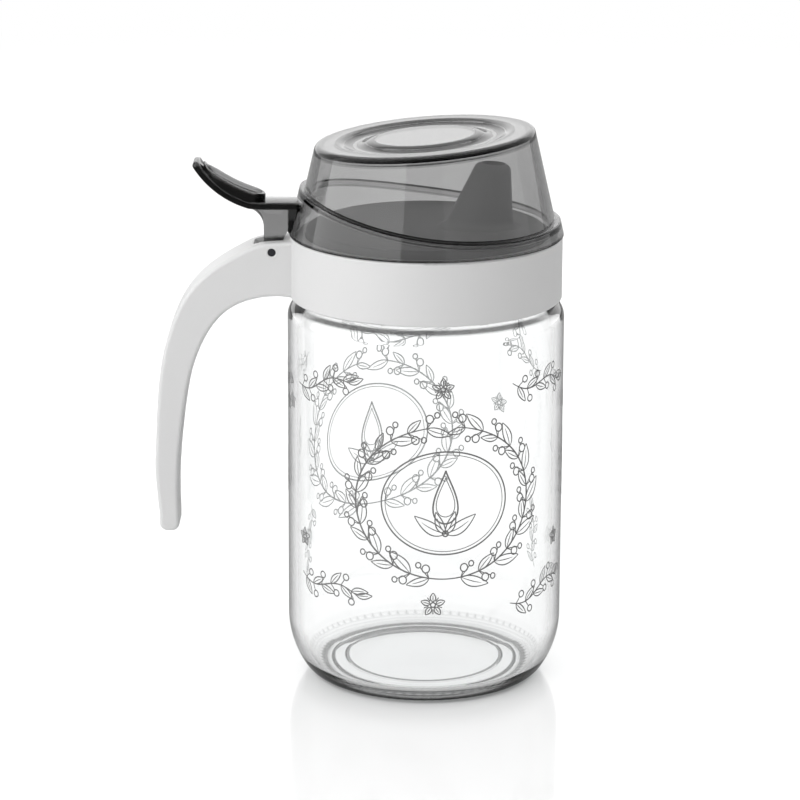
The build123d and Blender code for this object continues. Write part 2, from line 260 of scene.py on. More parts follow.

# Painted shade of the smoke plastic, likewise: its thin walls, the thick bars and the dark lever
THIN_SHADE_STOPS = ((0.5, 1.0), (0.78, 0.97), (0.86, 0.7), (0.95, 0.4), (1.0, 0.5))
THICK_SHADE_STOPS = ((0.4, 1.0), (0.6, 0.9), (0.95, 0.5), (1.0, 0.5))
BLACK_SHADE_STOPS = ((0.2, 0.6), (0.6, 0.45), (0.9, 0.35), (1.0, 0.4))

# Stage, in metres and degrees
FLOOR_HALF = 6.0
FLOOR_FADE = (0.5, 1.3)
LIT_POINT = (0.0, 0.0, 0.1)
GLOW_REACH = 1.4
GLOW_HEIGHT = 0.6
OVERHEAD_PLACE = (0.0, 0.7, 2.4)
CAMERA_LENS = 157.5
CAMERA_PLACE = (0.0, -1.0816, 0.3827)
CAMERA_TURN = (0.43, 90.0 - 15.15, 0.24)

# A hair off the point below the overhead panel, because a panel that faces straight down has no side
OVERHEAD_TARGET = (0.0, 0.7001, 0.0)


# Mesh helpers

def fan(steps):
    """Angles of a full turn, evenly spaced, without the repeated last one."""
    return np.linspace(0.0, 2.0 * np.pi, steps, endpoint=False)


def arc(centre_r, centre_z, radius, start, end, steps):
    """Points of an arc in the (r, z) plane: centre plus radius times (cos a, sin a), with a in degrees."""
    a = np.radians(np.linspace(start, end, steps))
    return np.stack([centre_r + radius * np.cos(a), centre_z + radius * np.sin(a)], -1)


def dome(radius, edge_z, centre_z, steps, outwards):
    """Shallow spherical cap as a profile from the axis to the edge, or back: z is the ball's height there."""
    rise = centre_z - edge_z
    ball = (radius**2 + rise**2) / (2.0 * abs(rise))
    r = np.linspace(0.0, radius, steps)
    z = centre_z - np.sign(rise) * (ball - np.sqrt(ball**2 - r**2))
    points = np.stack([r, z], -1)
    return points if outwards else points[::-1]


def heel(foot_r, foot_z, wall_r, wall_z, small_r, steps):
    """Two tangent arcs from level at the foot to upright at the wall. The small radius sets the large one."""
    across, up = wall_r - foot_r, wall_z - foot_z
    large_r = (across**2 + up**2 - 2 * up * small_r) / (2 * (across - small_r))
    turn = np.degrees(np.arctan2(foot_z + small_r - wall_z, foot_r - (wall_r - large_r)))
    small = arc(foot_r, foot_z + small_r, small_r, -90, turn, steps)
    return np.vstack([small, arc(wall_r - large_r, wall_z, large_r, turn, 0, steps)[1:]])


def revolve(profile, steps):
    """Surface of revolution: point (i, j) is (r cos a, r sin a, z) of profile point i at angle j."""
    a = fan(steps)
    r, z = profile[:, :1], profile[:, 1:2]
    return np.stack([r * np.cos(a), r * np.sin(a), z + 0.0 * a], -1)


def rounded(corners, cuts, steps=6, support=0.12, shade_marks=None):
    """Path through corner points, each corner cut back and replaced by a parabola.

    Between a = P + d (before - P) and b = P + d (after - P) the curve is (1-t)^2 a + 2t(1-t) P + t^2 b,
    with one more point a little outside each end, so that smooth shading stays on the curve.
    With marks of painted shade, each corner's mark over its curve is given back too, 0 outside the curves."""
    corners = np.asarray(corners, float)
    t = np.linspace(0.0, 1.0, steps).reshape((-1,) + (1,) * (corners.ndim - 1))
    out, edge = [corners[:1]], [[0.0]]
    for k in range(1, len(corners) - 1):
        before, here, after = corners[k - 1], corners[k], corners[k + 1]
        to_before = (before - here) / np.linalg.norm(before - here, axis=-1, keepdims=True)
        to_after = (after - here) / np.linalg.norm(after - here, axis=-1, keepdims=True)
        a, b = here + cuts[k] * to_before, here + cuts[k] * to_after
        out.append((a + support * to_before)[None])
        out.append((1 - t) ** 2 * a + 2 * t * (1 - t) * here + t**2 * b)
        out.append((b + support * to_after)[None])
        shade_mark = np.linspace(*np.broadcast_to(shade_marks[k] if shade_marks else 0.0, 2), steps)
        edge.append(np.concatenate([[0.0], shade_mark, [0.0]]))
    out.append(corners[-1:])
    edge.append([0.0])
    return (np.concatenate(out), np.concatenate(edge)) if shade_marks else np.concatenate(out)


def grid_quads(rows, cols, wrap_cols=True, wrap_rows=False, first=0):
    """Quads of a rows by cols grid of vertices, numbered from first, closed along either side if asked."""
    i = np.arange(rows if wrap_rows else rows - 1)
    j = np.arange(cols if wrap_cols else cols - 1)
    i, j = np.meshgrid(i, j, indexing="ij")
    i2, j2 = (i + 1) % rows, (j + 1) % cols
    quads = np.stack([i * cols + j, i * cols + j2, i2 * cols + j2, i2 * cols + j], -1)
    return quads.reshape(-1, 4) + first


class Shape:
    """Vertices in millimetres with quads and flat end faces, gathered from one or more grids."""

    def __init__(self):
        self.points, self.quads, self.caps, self.edges, self.count = [], [], [], [], 0

    def add(self, grid, wrap_cols=True, wrap_rows=False, cap_start=False, cap_end=False, edge=None):
        """Adds a (rows, cols, 3) grid, with a flat face over a capped end row, and edge, its marks of painted
        shade.
        """
        rows, cols = grid.shape[:2]
        first = self.count
        self.points.append(grid.reshape(-1, 3))
        rest = np.zeros((rows, cols))
        self.edges.append((rest if edge is None else rest + np.reshape(edge, (rows, -1))).reshape(-1))
        quads = grid_quads(rows, cols, wrap_cols, wrap_rows, first)
        caps = []
        if cap_start:
            caps.append(np.arange(cols)[::-1] + first)
        if cap_end:
            caps.append(np.arange(cols) + first + (rows - 1) * cols)
        if signed_volume(grid, quads - first, [c - first for c in caps]) < 0:
            quads, caps = quads[:, ::-1], [c[::-1] for c in caps]
        self.quads.append(quads)
        self.caps += caps
        self.count += rows * cols
        return self

    def mesh(self, name, sharp_angle=40.0):
        """Mesh in metres. Doubles at poles are merged, and edges sharper than sharp_angle are kept sharp."""
        points = np.concatenate(self.points) * MM
        quads = np.concatenate(self.quads)
        caps = self.caps
        mesh = bpy.data.meshes.new(name)
        loops = np.concatenate([quads.reshape(-1)] + caps).astype(np.int32)
        totals = np.array([4] * len(quads) + [len(c) for c in caps], np.int32)
        mesh.vertices.add(len(points))
        mesh.vertices.foreach_set("co", points.astype(np.float32).reshape(-1))
        mesh.loops.add(len(loops))
        mesh.loops.foreach_set("vertex_index", loops)
        mesh.polygons.add(len(totals))
        starts = np.concatenate([[0], np.cumsum(totals)[:-1]]).astype(np.int32)
        mesh.polygons.foreach_set("loop_start", starts)
        mesh.polygons.foreach_set("loop_total", totals)
        mesh.polygons.foreach_set("use_smooth", np.ones(len(totals), bool))
        mesh.update(calc_edges=True)
        mesh.validate()
        # Marks of painted shade, which the materials read as the edge attribute
        shade_mark = mesh.attributes.new("edge", "FLOAT", "POINT")
        shade_mark.data.foreach_set("value", np.concatenate(self.edges).astype(np.float32))
        merge_doubles(mesh)
        mesh.set_sharp_from_angle(angle=np.radians(sharp_angle))
        return mesh


def signed_volume(grid, quads, caps):
    """Six times the volume inside a closed mesh, summed over its triangles: negative if it is inside out."""
    p = grid.reshape(-1, 3)
    a, b, c, d = (p[quads[:, k]] for k in range(4))
    total = np.einsum("ij,ij->", a, np.cross(b, c)) + np.einsum("ij,ij->", a, np.cross(c, d))
    for cap in caps:
        q = p[cap]
        total += np.einsum("ij,ij->", np.broadcast_to(q[0], q[1:-1].shape), np.cross(q[1:-1], q[2:]))
    return total


def merge_doubles(mesh):
    """Joins vertices that lie on each other, as at a pole."""
    shape = bmesh.new()
    shape.from_mesh(mesh)
    bmesh.ops.remove_doubles(shape, verts=shape.verts, dist=1e-7)
    shape.to_mesh(mesh)
    shape.free()


def add_piece(name, mesh, material, body, replaces=()):
    """Puts a finished mesh in the scene with its material, its CAD body and the nodes it stands for."""
    piece = bpy.data.objects.new(name, mesh)
    bpy.context.scene.collection.objects.link(piece)
    mesh.materials.clear()
    mesh.materials.append(material)
    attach(piece, body)
    if replaces:
        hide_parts(*replaces)
    return piece


def dress_node(node, material):
    """Gives a CAD node that stays as it is its finished material."""
    mesh = frame["nodes"][node].data
    mesh.materials.clear()
    mesh.materials.append(material)


def rounded_slab(outline, half_width, edge, steps=4):
    """Plate with a closed (x, z) outline and rounded long edges.

    Rings of the outline are set in by edge (1 - cos a) at y = half_width - edge (1 - sin a), with a to 90."""
    outline = np.asarray(outline, float)
    before, after = np.roll(outline, 1, 0), np.roll(outline, -1, 0)
    along = after - before
    normal = np.stack([along[:, 1], -along[:, 0]], -1)
    normal /= np.linalg.norm(normal, axis=1, keepdims=True)
    area = np.sum(outline[:, 0] * after[:, 1] - after[:, 0] * outline[:, 1])
    normal *= np.sign(area)
    a = np.linspace(0.0, np.pi / 2, steps)
    inset = np.concatenate([(edge * (1 - np.cos(a)))[::-1], edge * (1 - np.cos(a))])
    y = half_width - edge * (1 - np.sin(a))
    y = np.concatenate([y[::-1], -y]) * -1.0
    ring = outline[None] - normal[None] * inset[:, None, None]
    grid = np.stack([ring[..., 0], np.broadcast_to(y[:, None], ring.shape[:2]), ring[..., 1]], -1)
    return Shape().add(grid, cap_start=True, cap_end=True)


def fill_line(a, b, steps):
    """Points of a straight line from a to b, without b."""
    t = np.linspace(0.0, 1.0, steps, endpoint=False)[:, None]
    return np.asarray(a, float) + t * (np.asarray(b, float) - np.asarray(a, float))


# Materials

def new_material(name):
    """Empty node material, with its tree and its output."""
    material = bpy.data.materials.new(name)
    material.use_nodes = True
    tree = material.node_tree
    tree.nodes.clear()
    return material, tree, tree.nodes.new("ShaderNodeOutputMaterial")


def add_node(tree, kind, inputs=None, **settings):
    """Adds a shader node, sets its properties, and sets or links its inputs."""
    node = tree.nodes.new("ShaderNode" + kind)
    for key, value in settings.items():
        setattr(node, key, value)
    for key, value in (inputs or {}).items():
        if isinstance(value, bpy.types.NodeSocket):
            tree.links.new(value, node.inputs[key])
        else:
            node.inputs[key].default_value = value
    return node


def combined(tree, operation, a, b):
    """Two numbers through a Math node."""
    return add_node(tree, "Math", {0: a, 1: b}, operation=operation).outputs[0]


def ranged(tree, source, start, end, low=0.0, high=1.0, **settings):
    """A number that goes from low to high while the source goes from start to end, and stays between them."""
    inputs = {"Value": source, "From Min": start, "From Max": end, "To Min": low, "To Max": high}
    return add_node(tree, "MapRange", inputs, **settings).outputs[0]


def mixed(tree, factor, a, b, blend="MIX"):
    """Colour mixed from a to b."""
    inputs = {"Factor": factor, "A": a, "B": b}
    return add_node(tree, "Mix", inputs, data_type="RGBA", blend_type=blend).outputs[2]


def object_noise(tree, scale, detail, stretch=(1, 1, 1)):
    """Noise over the piece's own coordinates, in features per metre."""
    place = add_node(tree, "TexCoord").outputs["Object"]
    place = add_node(tree, "Mapping", {"Vector": place, "Scale": stretch}).outputs[0]
    return add_node(tree, "TexNoise", {"Vector": place, "Scale": scale, "Detail": detail}).outputs["Fac"]


def bumped(tree, height, strength, distance):
    """Normal of a bump, its distance in metres."""
    return add_node(tree, "Bump", {"Height": height, "Strength": strength, "Distance": distance}).outputs[0]


def brightness_ramp(tree, source, stops, tint):
    """Colour of a 0 to 1 source, as tint times the brightness at each stop."""
    shade = add_node(tree, "ValToRGB", {"Fac": source})
    ramp = shade.color_ramp
    ramp.elements[0].position, ramp.elements[1].position = stops[0][0], stops[-1][0]
    for place, _ in stops[1:-1]:
        ramp.elements.new(place)
    for element, (_, level) in zip(ramp.elements, stops):
        element.color = (*[level * c for c in tint], 1)
    return shade.outputs["Color"]


def edge_shade(tree, stops, tint, corner_level, under_level=1.0, side_fade=0.0):
    """Colour with painted shade as an upright surface turns away: brightness stops over 1 - cos of the view
    angle, which come sooner where the surface leans down.

    Corners marked on the mesh get painted shade, down to corner_level. Inner walls, marked below zero, stay
    clear. Surfaces that face down get painted shade down to under_level where they are seen from outside. A
    corner that faces up loses the share side_fade of its painted shade where it turns away."""
    facing = add_node(tree, "LayerWeight", {"Blend": 0.5}).outputs["Facing"]
    geometry = add_node(tree, "NewGeometry").outputs
    normal_z = add_node(tree, "SeparateXYZ", {0: geometry["Normal"]}).outputs["Z"]
    shade_mark = add_node(tree, "Attribute", attribute_name="edge").outputs["Fac"]
    lean = ranged(tree, normal_z, -0.02, -0.35, 0.0, 0.14)
    shade = brightness_ramp(tree, combined(tree, "ADD", facing, lean), stops, tint)
    rise = ranged(tree, normal_z, 0.05, 0.3)
    fall = ranged(tree, normal_z, -0.1, -0.5, 0.0, 0.4)
    inner = ranged(tree, shade_mark, 0.0, -1.0, 0.0, 0.8)
    fade = combined(tree, "MAXIMUM", combined(tree, "MAXIMUM", rise, fall), inner)
    shade = mixed(tree, fade, shade, (*tint, 1))
    turned_away = combined(tree, "MULTIPLY", ranged(tree, facing, 0.45, 0.75, 0.0, side_fade), rise)
    corner = {"Factor": turned_away, "A": ranged(tree, shade_mark, 0.0, 1.0, 1.0, corner_level), "B": 1.0}
    corner = add_node(tree, "Mix", corner, data_type="FLOAT").outputs[0]
    clear = combined(tree, "MAXIMUM", geometry["Backfacing"], inner)
    under = ranged(tree, normal_z, -0.42, -0.54, 0.0, 1 - under_level)
    under = combined(tree, "MULTIPLY", under, combined(tree, "SUBTRACT", 1.0, clear))
    dark = combined(tree, "MULTIPLY", corner, combined(tree, "SUBTRACT", 1.0, under))
    return mixed(tree, 1.0, shade, dark, "MULTIPLY")


def finish_clear(tree, output, edge, ior, normal, shadow):
    """Clear smooth shader, its colour and reflection tinted by edge, the painted shade. Lamps and bounced
    light pass straight through it, tinted by shadow, so that what is inside is lit."""
    inputs = {
        "Base Color": edge,
        "Specular Tint": edge,
        "Roughness": 0.0,
        "IOR": ior,
        "Transmission Weight": 1.0,
        "Normal": normal,
    }
    solid = add_node(tree, "BsdfPrincipled", inputs).outputs[0]
    path = add_node(tree, "LightPath").outputs
    either = combined(tree, "MAXIMUM", path["Is Shadow Ray"], path["Is Diffuse Ray"])
    clear = add_node(tree, "BsdfTransparent", {"Color": shadow}).outputs[0]
    gate = add_node(tree, "MixShader", {0: either, 1: solid, 2: clear}).outputs[0]
    tree.links.new(gate, output.inputs["Surface"])


def finish_opaque(tree, output, inputs):
    """Principled shader with those inputs."""
    tree.links.new(add_node(tree, "BsdfPrincipled", inputs).outputs[0], output.inputs["Surface"])


def make_clear_glass(look):
    """Clear moulded glass: bright straight on, painted grey shade where it turns away, and a faint waviness.

    Lamps pass it freely but for the overhanging heel, whose thick glass keeps some light off the floor at the
    foot. Where the floor mirrors it, its colour is painted dimmer than the white around."""
    material, tree, output = new_material("moulded_glass")
    stops = [(place, level**look.glass_edge) for place, level in GLASS_SHADE_STOPS]
    edge = edge_shade(tree, stops, look.glass_tint, corner_level=0.05, under_level=0.1, side_fade=0.85)
    # Painted shade: the glass's colour is dimmer where the glossy floor mirrors it
    path = add_node(tree, "LightPath").outputs
    first = combined(tree, "LESS_THAN", path["Transmission Depth"], 0.5)
    mirror = combined(tree, "MULTIPLY", path["Is Glossy Ray"], first)
    edge = mixed(tree, 1.0, edge, ranged(tree, mirror, 0.0, 1.0, 1.0, look.mirrored), "MULTIPLY")
    normal = add_node(tree, "NewGeometry").outputs["Normal"]
    normal_z = add_node(tree, "SeparateXYZ", {0: normal}).outputs["Z"]
    shadow = brightness_ramp(tree, ranged(tree, normal_z, -1.0, 0.0), GLASS_CAST, look.glass_tint)
    wave = bumped(tree, object_noise(tree, 60.0, 1.0, (1, 1, 0.4)), 0.06, 0.0006)
    finish_clear(tree, output, edge, 1.5, wave, shadow)
    return material


def make_smoke_plastic(name, look, stops, depth):
    """Smoke-tinted clear moulding: the tint grows with the depth of plastic that is looked through."""
    material, tree, output = new_material(name)
    # Painted shade where the moulding turns away and along its marked corners
    edge = edge_shade(tree, stops, (1.0, 1.0, 1.0), corner_level=0.006)
    flow = bumped(tree, object_noise(tree, 45.0, 2.0, (1, 1, 0.5)), 0.05, 0.0005)
    finish_clear(tree, output, edge, 1.49, flow, (0.96, 0.96, 0.96, 1))
    tint = {"Color": (*look.smoke_colour, 1), "Density": look.smoke_density * depth}
    tree.links.new(add_node(tree, "VolumeAbsorption", tint).outputs[0], output.inputs["Volume"])
    return material


def make_moulded_plastic(name, colour, roughness, grain):
    """Opaque satin moulding: fine grain, a little unevenness in its shine and tone."""
    material, tree, output = new_material(name)
    tone = object_noise(tree, 22.0, 3.0)
    skin = object_noise(tree, 2600.0, 2.0)
    inputs = {
        "Base Color": mixed(tree, tone, (*[0.975 * c for c in colour], 1), (*colour, 1)),
        "Roughness": ranged(tree, tone, 0.0, 1.0, roughness - 0.05, roughness + 0.05),
        "IOR": 1.46,
        "Normal": bumped(tree, skin, grain, 0.00006),
    }
    finish_opaque(tree, output, inputs)
    return material


def make_ink(look):
    """Fired grey print: matt, a little thinner in places, and paler on the side that lies on the glass."""
    material, tree, output = new_material("fired_print")
    shades = [(*[level * c for c in look.print_colour], 1) for level in (1.25, 0.8)]
    front = mixed(tree, object_noise(tree, 900.0, 3.0), *shades)
    place = add_node(tree, "TexCoord").outputs["Object"]
    outward = add_node(tree, "VectorMath", {0: place, 1: (1, 1, 0)}, operation="MULTIPLY").outputs[0]
    normal = add_node(tree, "NewGeometry").outputs["Normal"]
    side = add_node(tree, "VectorMath", {0: outward, 1: normal}, operation="DOT_PRODUCT").outputs["Value"]
    colour = mixed(tree, combined(tree, "GREATER_THAN", side, 0.0), (*look.print_back, 1), front)
    finish_opaque(tree, output, {"Base Color": colour, "Roughness": 0.55})
    return material


def make_dark_steel():
    """Dark drawn steel of the pin's ends, with fine turning marks around its axis."""
    material, tree, output = new_material("dark_steel")
    place = add_node(tree, "TexCoord").outputs["Object"]
    centred = {"Vector": place, "Location": (-PIN_X * MM, 0, -PIN_Z * MM), "Scale": (1, 0, 1)}
    rings = {"Vector": add_node(tree, "Mapping", centred).outputs[0], "Scale": 2400.0, "Distortion": 1.0}
    rings = add_node(tree, "TexWave", rings, wave_type="RINGS", rings_direction="SPHERICAL").outputs["Fac"]
    inputs = {
        "Base Color": (0.025, 0.025, 0.03, 1),
        "Metallic": 0.6,
        "Roughness": ranged(tree, rings, 0.0, 1.0, 0.32, 0.45),
        "Normal": bumped(tree, rings, 0.25, 0.00003),
    }
    finish_opaque(tree, output, inputs)
    return material


# Jar

def jar_profile():
    """Half section of the jar: from the axis under the floor over foot, heel, wall and rim, and back inside.

    Each point comes with its mark of painted shade, along corners and lines. The inside is marked below zero."""
    inner_r = JAR_R - JAR_WALL
    outer_r = JAR_R - JAR_SKIN
    shoulder_r = JAR_R - NECK_R
    inner_shoulder_r = inner_r - NECK_BORE_R
    step_r = PUSHUP_RING_R + PUSHUP_STEP
    base = [
        (DOME_R, PUSHUP_Z - DOME_RISE),
        (PUSHUP_RING_R, PUSHUP_Z - PUSHUP_STEP),
        (step_r, PUSHUP_Z - 2 * PUSHUP_STEP),
        (FOOT_INNER_R - 0.6, PUSHUP_Z - 2.2 * PUSHUP_STEP),
        (FOOT_INNER_R, 0.0),
        (FOOT_OUTER_R, 0.0),
    ]
    cuts = [0, 0.5, 0.2, 0.4, 0.4, 0]
    under, under_shade = rounded(np.array(base), cuts, 5, 0.08, [0, 0.95, 0.4, 0.5, 0.6, 0])
    outer_heel = heel(FOOT_OUTER_R, 0.0, outer_r, HEEL_Z, HEEL_SMALL_R, 21)
    inner_heel = heel(INNER_FLOOR_R, INNER_FLOOR_Z, inner_r, INNER_HEEL_Z, INNER_HEEL_SMALL_R, 12)[::-1]
    floor_r = np.linspace(INNER_FLOOR_R, 0.0, 24)[1:]
    floor_rise = (FLOOR_Z - INNER_FLOOR_Z) * (0.5 + 0.5 * np.cos(np.pi * floor_r / INNER_FLOOR_R))
    inner_floor = np.stack([floor_r, INNER_FLOOR_Z + floor_rise], -1)
    heel_z = outer_heel[:, 1]
    shade_bands = 0.5 + 0.5 * np.cos(2 * np.pi * heel_z / HEEL_SHADE_PERIOD)
    # Painted shade, dark along the foot's edge and in bands up the heel
    heel_shade = np.interp(heel_z, [0, 0.2, 0.45], [1, 0.95, 0])
    heel_shade += np.interp(heel_z, [0.3, 1.0, 4.0, 9.0], [0, 0.15, 0.25, 0]) * shade_bands
    shoulder = arc(NECK_R, SHOULDER_Z, shoulder_r - JAR_SKIN, 0, SHOULDER_TURN, 20)
    # Painted shade in a band over the shoulder
    shoulder_shade = np.interp(np.linspace(0, SHOULDER_TURN, 20), [32, 41, 55, 64], [0, 1, 1, 0])
    neck_root = arc(NECK_R + NECK_ROOT_R, SHOULDER_Z + shoulder_r + 0.45, NECK_ROOT_R, -94, -180, 5)
    parts = [
        (dome(DOME_R, PUSHUP_Z - DOME_RISE, PUSHUP_Z, 9, True)[:-1], 0),
        (under[:-1], under_shade[:-1]),
        (outer_heel, heel_shade),
        ([(outer_r, 40.0), (outer_r, 70.0), (outer_r, 100.0), (outer_r, SHOULDER_Z - 0.6)], 0),
        (shoulder, shoulder_shade),
        (neck_root, 0.3),
        (arc(NECK_R, NECK_BEAD_Z, NECK_BEAD, -90, 90, 9), 0),
        ([(NECK_R, NECK_BEAD_Z + NECK_BEAD + 0.3), (NECK_R, 133.0)], 0),
        (arc(NECK_R - RIM_ROUND, RIM_Z - RIM_ROUND, RIM_ROUND, 0, 90, 6), 0.3),
        (arc(NECK_BORE_R + RIM_ROUND, RIM_Z - RIM_ROUND, RIM_ROUND, 90, 180, 6), 0.3),
        ([(NECK_BORE_R, 132.0), (NECK_BORE_R, SHOULDER_Z + inner_shoulder_r + 0.3)], INNER_MARK),
        (arc(NECK_BORE_R, SHOULDER_Z, inner_shoulder_r, 90, 0, 14), INNER_MARK),
        ([(inner_r, SHOULDER_Z - 0.6), (inner_r, 90.0), (inner_r, 50.0)], INNER_MARK),
        (inner_heel, INNER_MARK),
        (inner_floor, INNER_MARK),
    ]
    points = [np.asarray(part, float) for part, _ in parts]
    shade_marks = [np.broadcast_to(np.asarray(shade_mark, float), len(p)) for p, (_, shade_mark) in zip(points, parts)]
    return np.vstack(points), np.concatenate(shade_marks)


def press_foot_dashes(grid, profile, shade_marks):
    """Short ribs around the foot: between them the heel is set in, by a depth times 1 - cos of the angle and
    a hump over the height. Gives the grid back with its points' marks, which paint shade along the ribs."""
    a = fan(JAR_STEPS)
    r, z = profile[:, 0], profile[:, 1]
    under = (np.arange(len(r)) < np.argmax(z > HEEL_Z / 2)) & (r > FOOT_OUTER_R + 0.1)
    foot = np.clip(1 - ((r - FOOT_BAND_R) / FOOT_BAND_HALF) ** 2, 0, 1)
    side = np.clip(1 - ((z - DASH_Z) / DASH_HALF_HEIGHT) ** 2, 0, 1)
    shade_window = np.where(under, np.maximum(FOOT_BAND_SHADE * foot, side), 0.0)
    wave = np.clip(np.cos(DASHES * a), 0, 1)
    push = np.where(under, np.maximum(FOOT_BAND_DEPTH * foot, DASH_DEPTH * side), 0.0)
    push = push[:, None] * (1 - wave[None])
    grid[..., 2] += push
    grid[..., 0] -= 0.5 * push * np.cos(a)
    grid[..., 1] -= 0.5 * push * np.sin(a)
    # Painted shade along the ribs
    dash_shade = DASH_SHADE * shade_window[:, None] * wave[None]
    shade_marks = shade_marks[:, None]
    return grid, np.where(dash_shade > 0, np.maximum(shade_marks, dash_shade), shade_marks)


def helix_ribs(root_r, height, outwards, low_z, half_thickness):
    """Thread ribs: a round-nosed section carried up a helix, z = low_z + lead a / 360, faded at both ends."""
    side = 1.0 if outwards else -1.0
    t = np.linspace(0.0, 1.0, 61)[:, None]
    fade = np.sqrt(np.clip(np.minimum(t, 1 - t) / 0.06, 0.0, 1.0))
    section = np.radians(np.linspace(-90, 90, 9))[None]
    shape = Shape()
    for start in range(THREAD_STARTS):
        a = np.radians(start * 360.0 / THREAD_STARTS + THREAD_SHIFT) + np.radians(THREAD_TURN) * t
        z = low_z + THREAD_LEAD * THREAD_TURN / 360.0 * t
        r = root_r + side * (height * fade * np.cos(section) - 0.5 * THREAD_SINK)
        nose = np.stack([r * np.cos(a), r * np.sin(a), z + half_thickness * np.sin(section) + 0 * r], -1)
        back_r = root_r - side * THREAD_SINK
        back = np.stack([back_r * np.cos(a), back_r * np.sin(a), z], -1)
        shape.add(np.concatenate([nose, back[:, :1]], 1), cap_start=True, cap_end=True)
    return shape


# Print

def on_jar(points, radius):
    """Carries (u, v) of the unrolled jar onto its side: the angle is u over the jar's radius, and z is v."""
    a = points[..., 0] / JAR_R - np.pi / 2
    return np.stack([radius * np.cos(a), radius * np.sin(a), points[..., 1]], -1)


def ink_line(shape, line, width, taper=0.0):
    """Printed stroke: the line is widened by half its width to each side, and given the ink's depth."""
    line = np.asarray(line, float)
    along = np.gradient(line, axis=0)
    normal = np.stack([-along[:, 1], along[:, 0]], -1)
    normal /= np.maximum(np.linalg.norm(normal, axis=1, keepdims=True), 1e-9)
    t = np.linspace(0.0, 1.0, len(line))
    half = 0.5 * width * (1 - taper * np.abs(2 * t - 1) ** 2)[:, None]
    left, right = line + normal * half, line - normal * half
    low, high = JAR_R - JAR_SKIN + 0.005, JAR_R - 0.005
    grid = np.stack([on_jar(left, low), on_jar(left, high), on_jar(right, high), on_jar(right, low)], 1)
    shape.add(grid, cap_start=True, cap_end=True)


def turned(points, angle, origin=(0.0, 0.0)):
    """Points turned about (0, 0) by angle in radians and moved to origin."""
    c, s = np.cos(angle), np.sin(angle)
    return points @ np.array([[c, s], [-s, c]]) + np.asarray(origin, float)


def leaf_sides(length, width, bend):
    """Both sides and the midrib of a pointed leaf along +u: v is half the width times a skewed sine."""
    t = np.linspace(0.0, 1.0, 17)
    belly = 0.5 * width * np.sin(np.pi * t**0.85) ** 0.9
    u, middle = length * t, bend * length * t**2
    return np.stack([u, middle + belly], -1), np.stack([u, middle - belly], -1), np.stack([u, middle], -1)


def ink_leaf(shape, place, angle, length, width, bend, stroke):
    """Outlined leaf with a midrib."""
    upper, lower, rib = leaf_sides(length, width, bend)
    ink_line(shape, turned(upper, angle, place), stroke, 0.3)
    ink_line(shape, turned(lower, angle, place), stroke, 0.3)
    ink_line(shape, turned(rib[:13], angle, place), 0.75 * stroke, 0.6)


def ink_ring(shape, place, radius, stroke, squash=1.0):
    """Closed round stroke, as for a berry."""
    a = np.linspace(0.0, 2.0 * np.pi, 25)
    ink_line(shape, np.stack([radius * squash * np.cos(a), radius * np.sin(a)], -1) + place, stroke)


def ink_wreath(shape, centre, look):
    """Two leafy branches that curve up round a double oval, and a drop over a fan of leaves inside it."""
    stroke = look.print_stroke
    half_u, half_v = WREATH_HALF
    for hand in (-1, 1):
        a = np.radians(np.linspace(-98, 80, 80))
        stem = np.stack([hand * half_u * np.cos(a), half_v * np.sin(a)], -1) + centre
        ink_line(shape, stem, 1.4 * stroke, 0.4)
        for k, degrees in enumerate(np.linspace(-80, 78, WREATH_LEAVES)):
            a = np.radians(degrees)
            place = np.array([hand * half_u * np.cos(a), half_v * np.sin(a)]) + centre
            heading = np.arctan2(half_v * np.cos(a), -hand * half_u * np.sin(a))
            side = 1 if k % 2 else -1
            length = (LONG_LEAF if side * hand < 0 else SHORT_LEAF) - LEAF_STEP * k
            lean, bend = hand * side * 0.62, -hand * side * 0.16
            ink_leaf(shape, place, heading + lean, length, LEAF_SLIM * length, bend, stroke)
            for reach, size in BERRIES:
                way = heading - hand * side * (1.1 if size > 1 else 0.75)
                fruit = turned(np.array([[reach, 0.0]]), way, place)[0]
                stalk = turned(np.array([[reach - size, 0.0]]), way, place)[0]
                ink_line(shape, np.linspace(place, stalk, 4), 0.8 * stroke)
                ink_ring(shape, fruit, size, stroke, 0.9)
    a = np.linspace(0.0, 2.0 * np.pi, 121)
    for half, weight in ((1.0, 1.2), (0.94, 0.6)):
        oval = half * np.stack([OVAL_HALF[0] * np.cos(a), OVAL_HALF[1] * np.sin(a)], -1)
        ink_line(shape, oval + centre, weight * stroke)
    middle = centre + np.array([0.0, DROP_RISE])
    a = np.linspace(0.0, 2.0 * np.pi, 61)
    for grow in (1.0, 0.74):
        belly = DROP_HALF[0] * np.sin(a) * np.sin(a / 2) ** 1.5
        drop = grow * np.stack([belly, DROP_HALF[1] * np.cos(a)], -1)
        ink_line(shape, drop + middle, (1.3 if grow == 1.0 else 0.7) * stroke)
    foot = centre - np.array([0.0, SPRAY_DROP])
    for angle, length in SPRAY:
        bend = 0.3 if angle < 90 else -0.3
        ink_leaf(shape, foot, np.radians(angle), length, LEAF_SLIM * length, bend, stroke)
    ink_ring(shape, foot, 0.9, 1.2 * stroke)


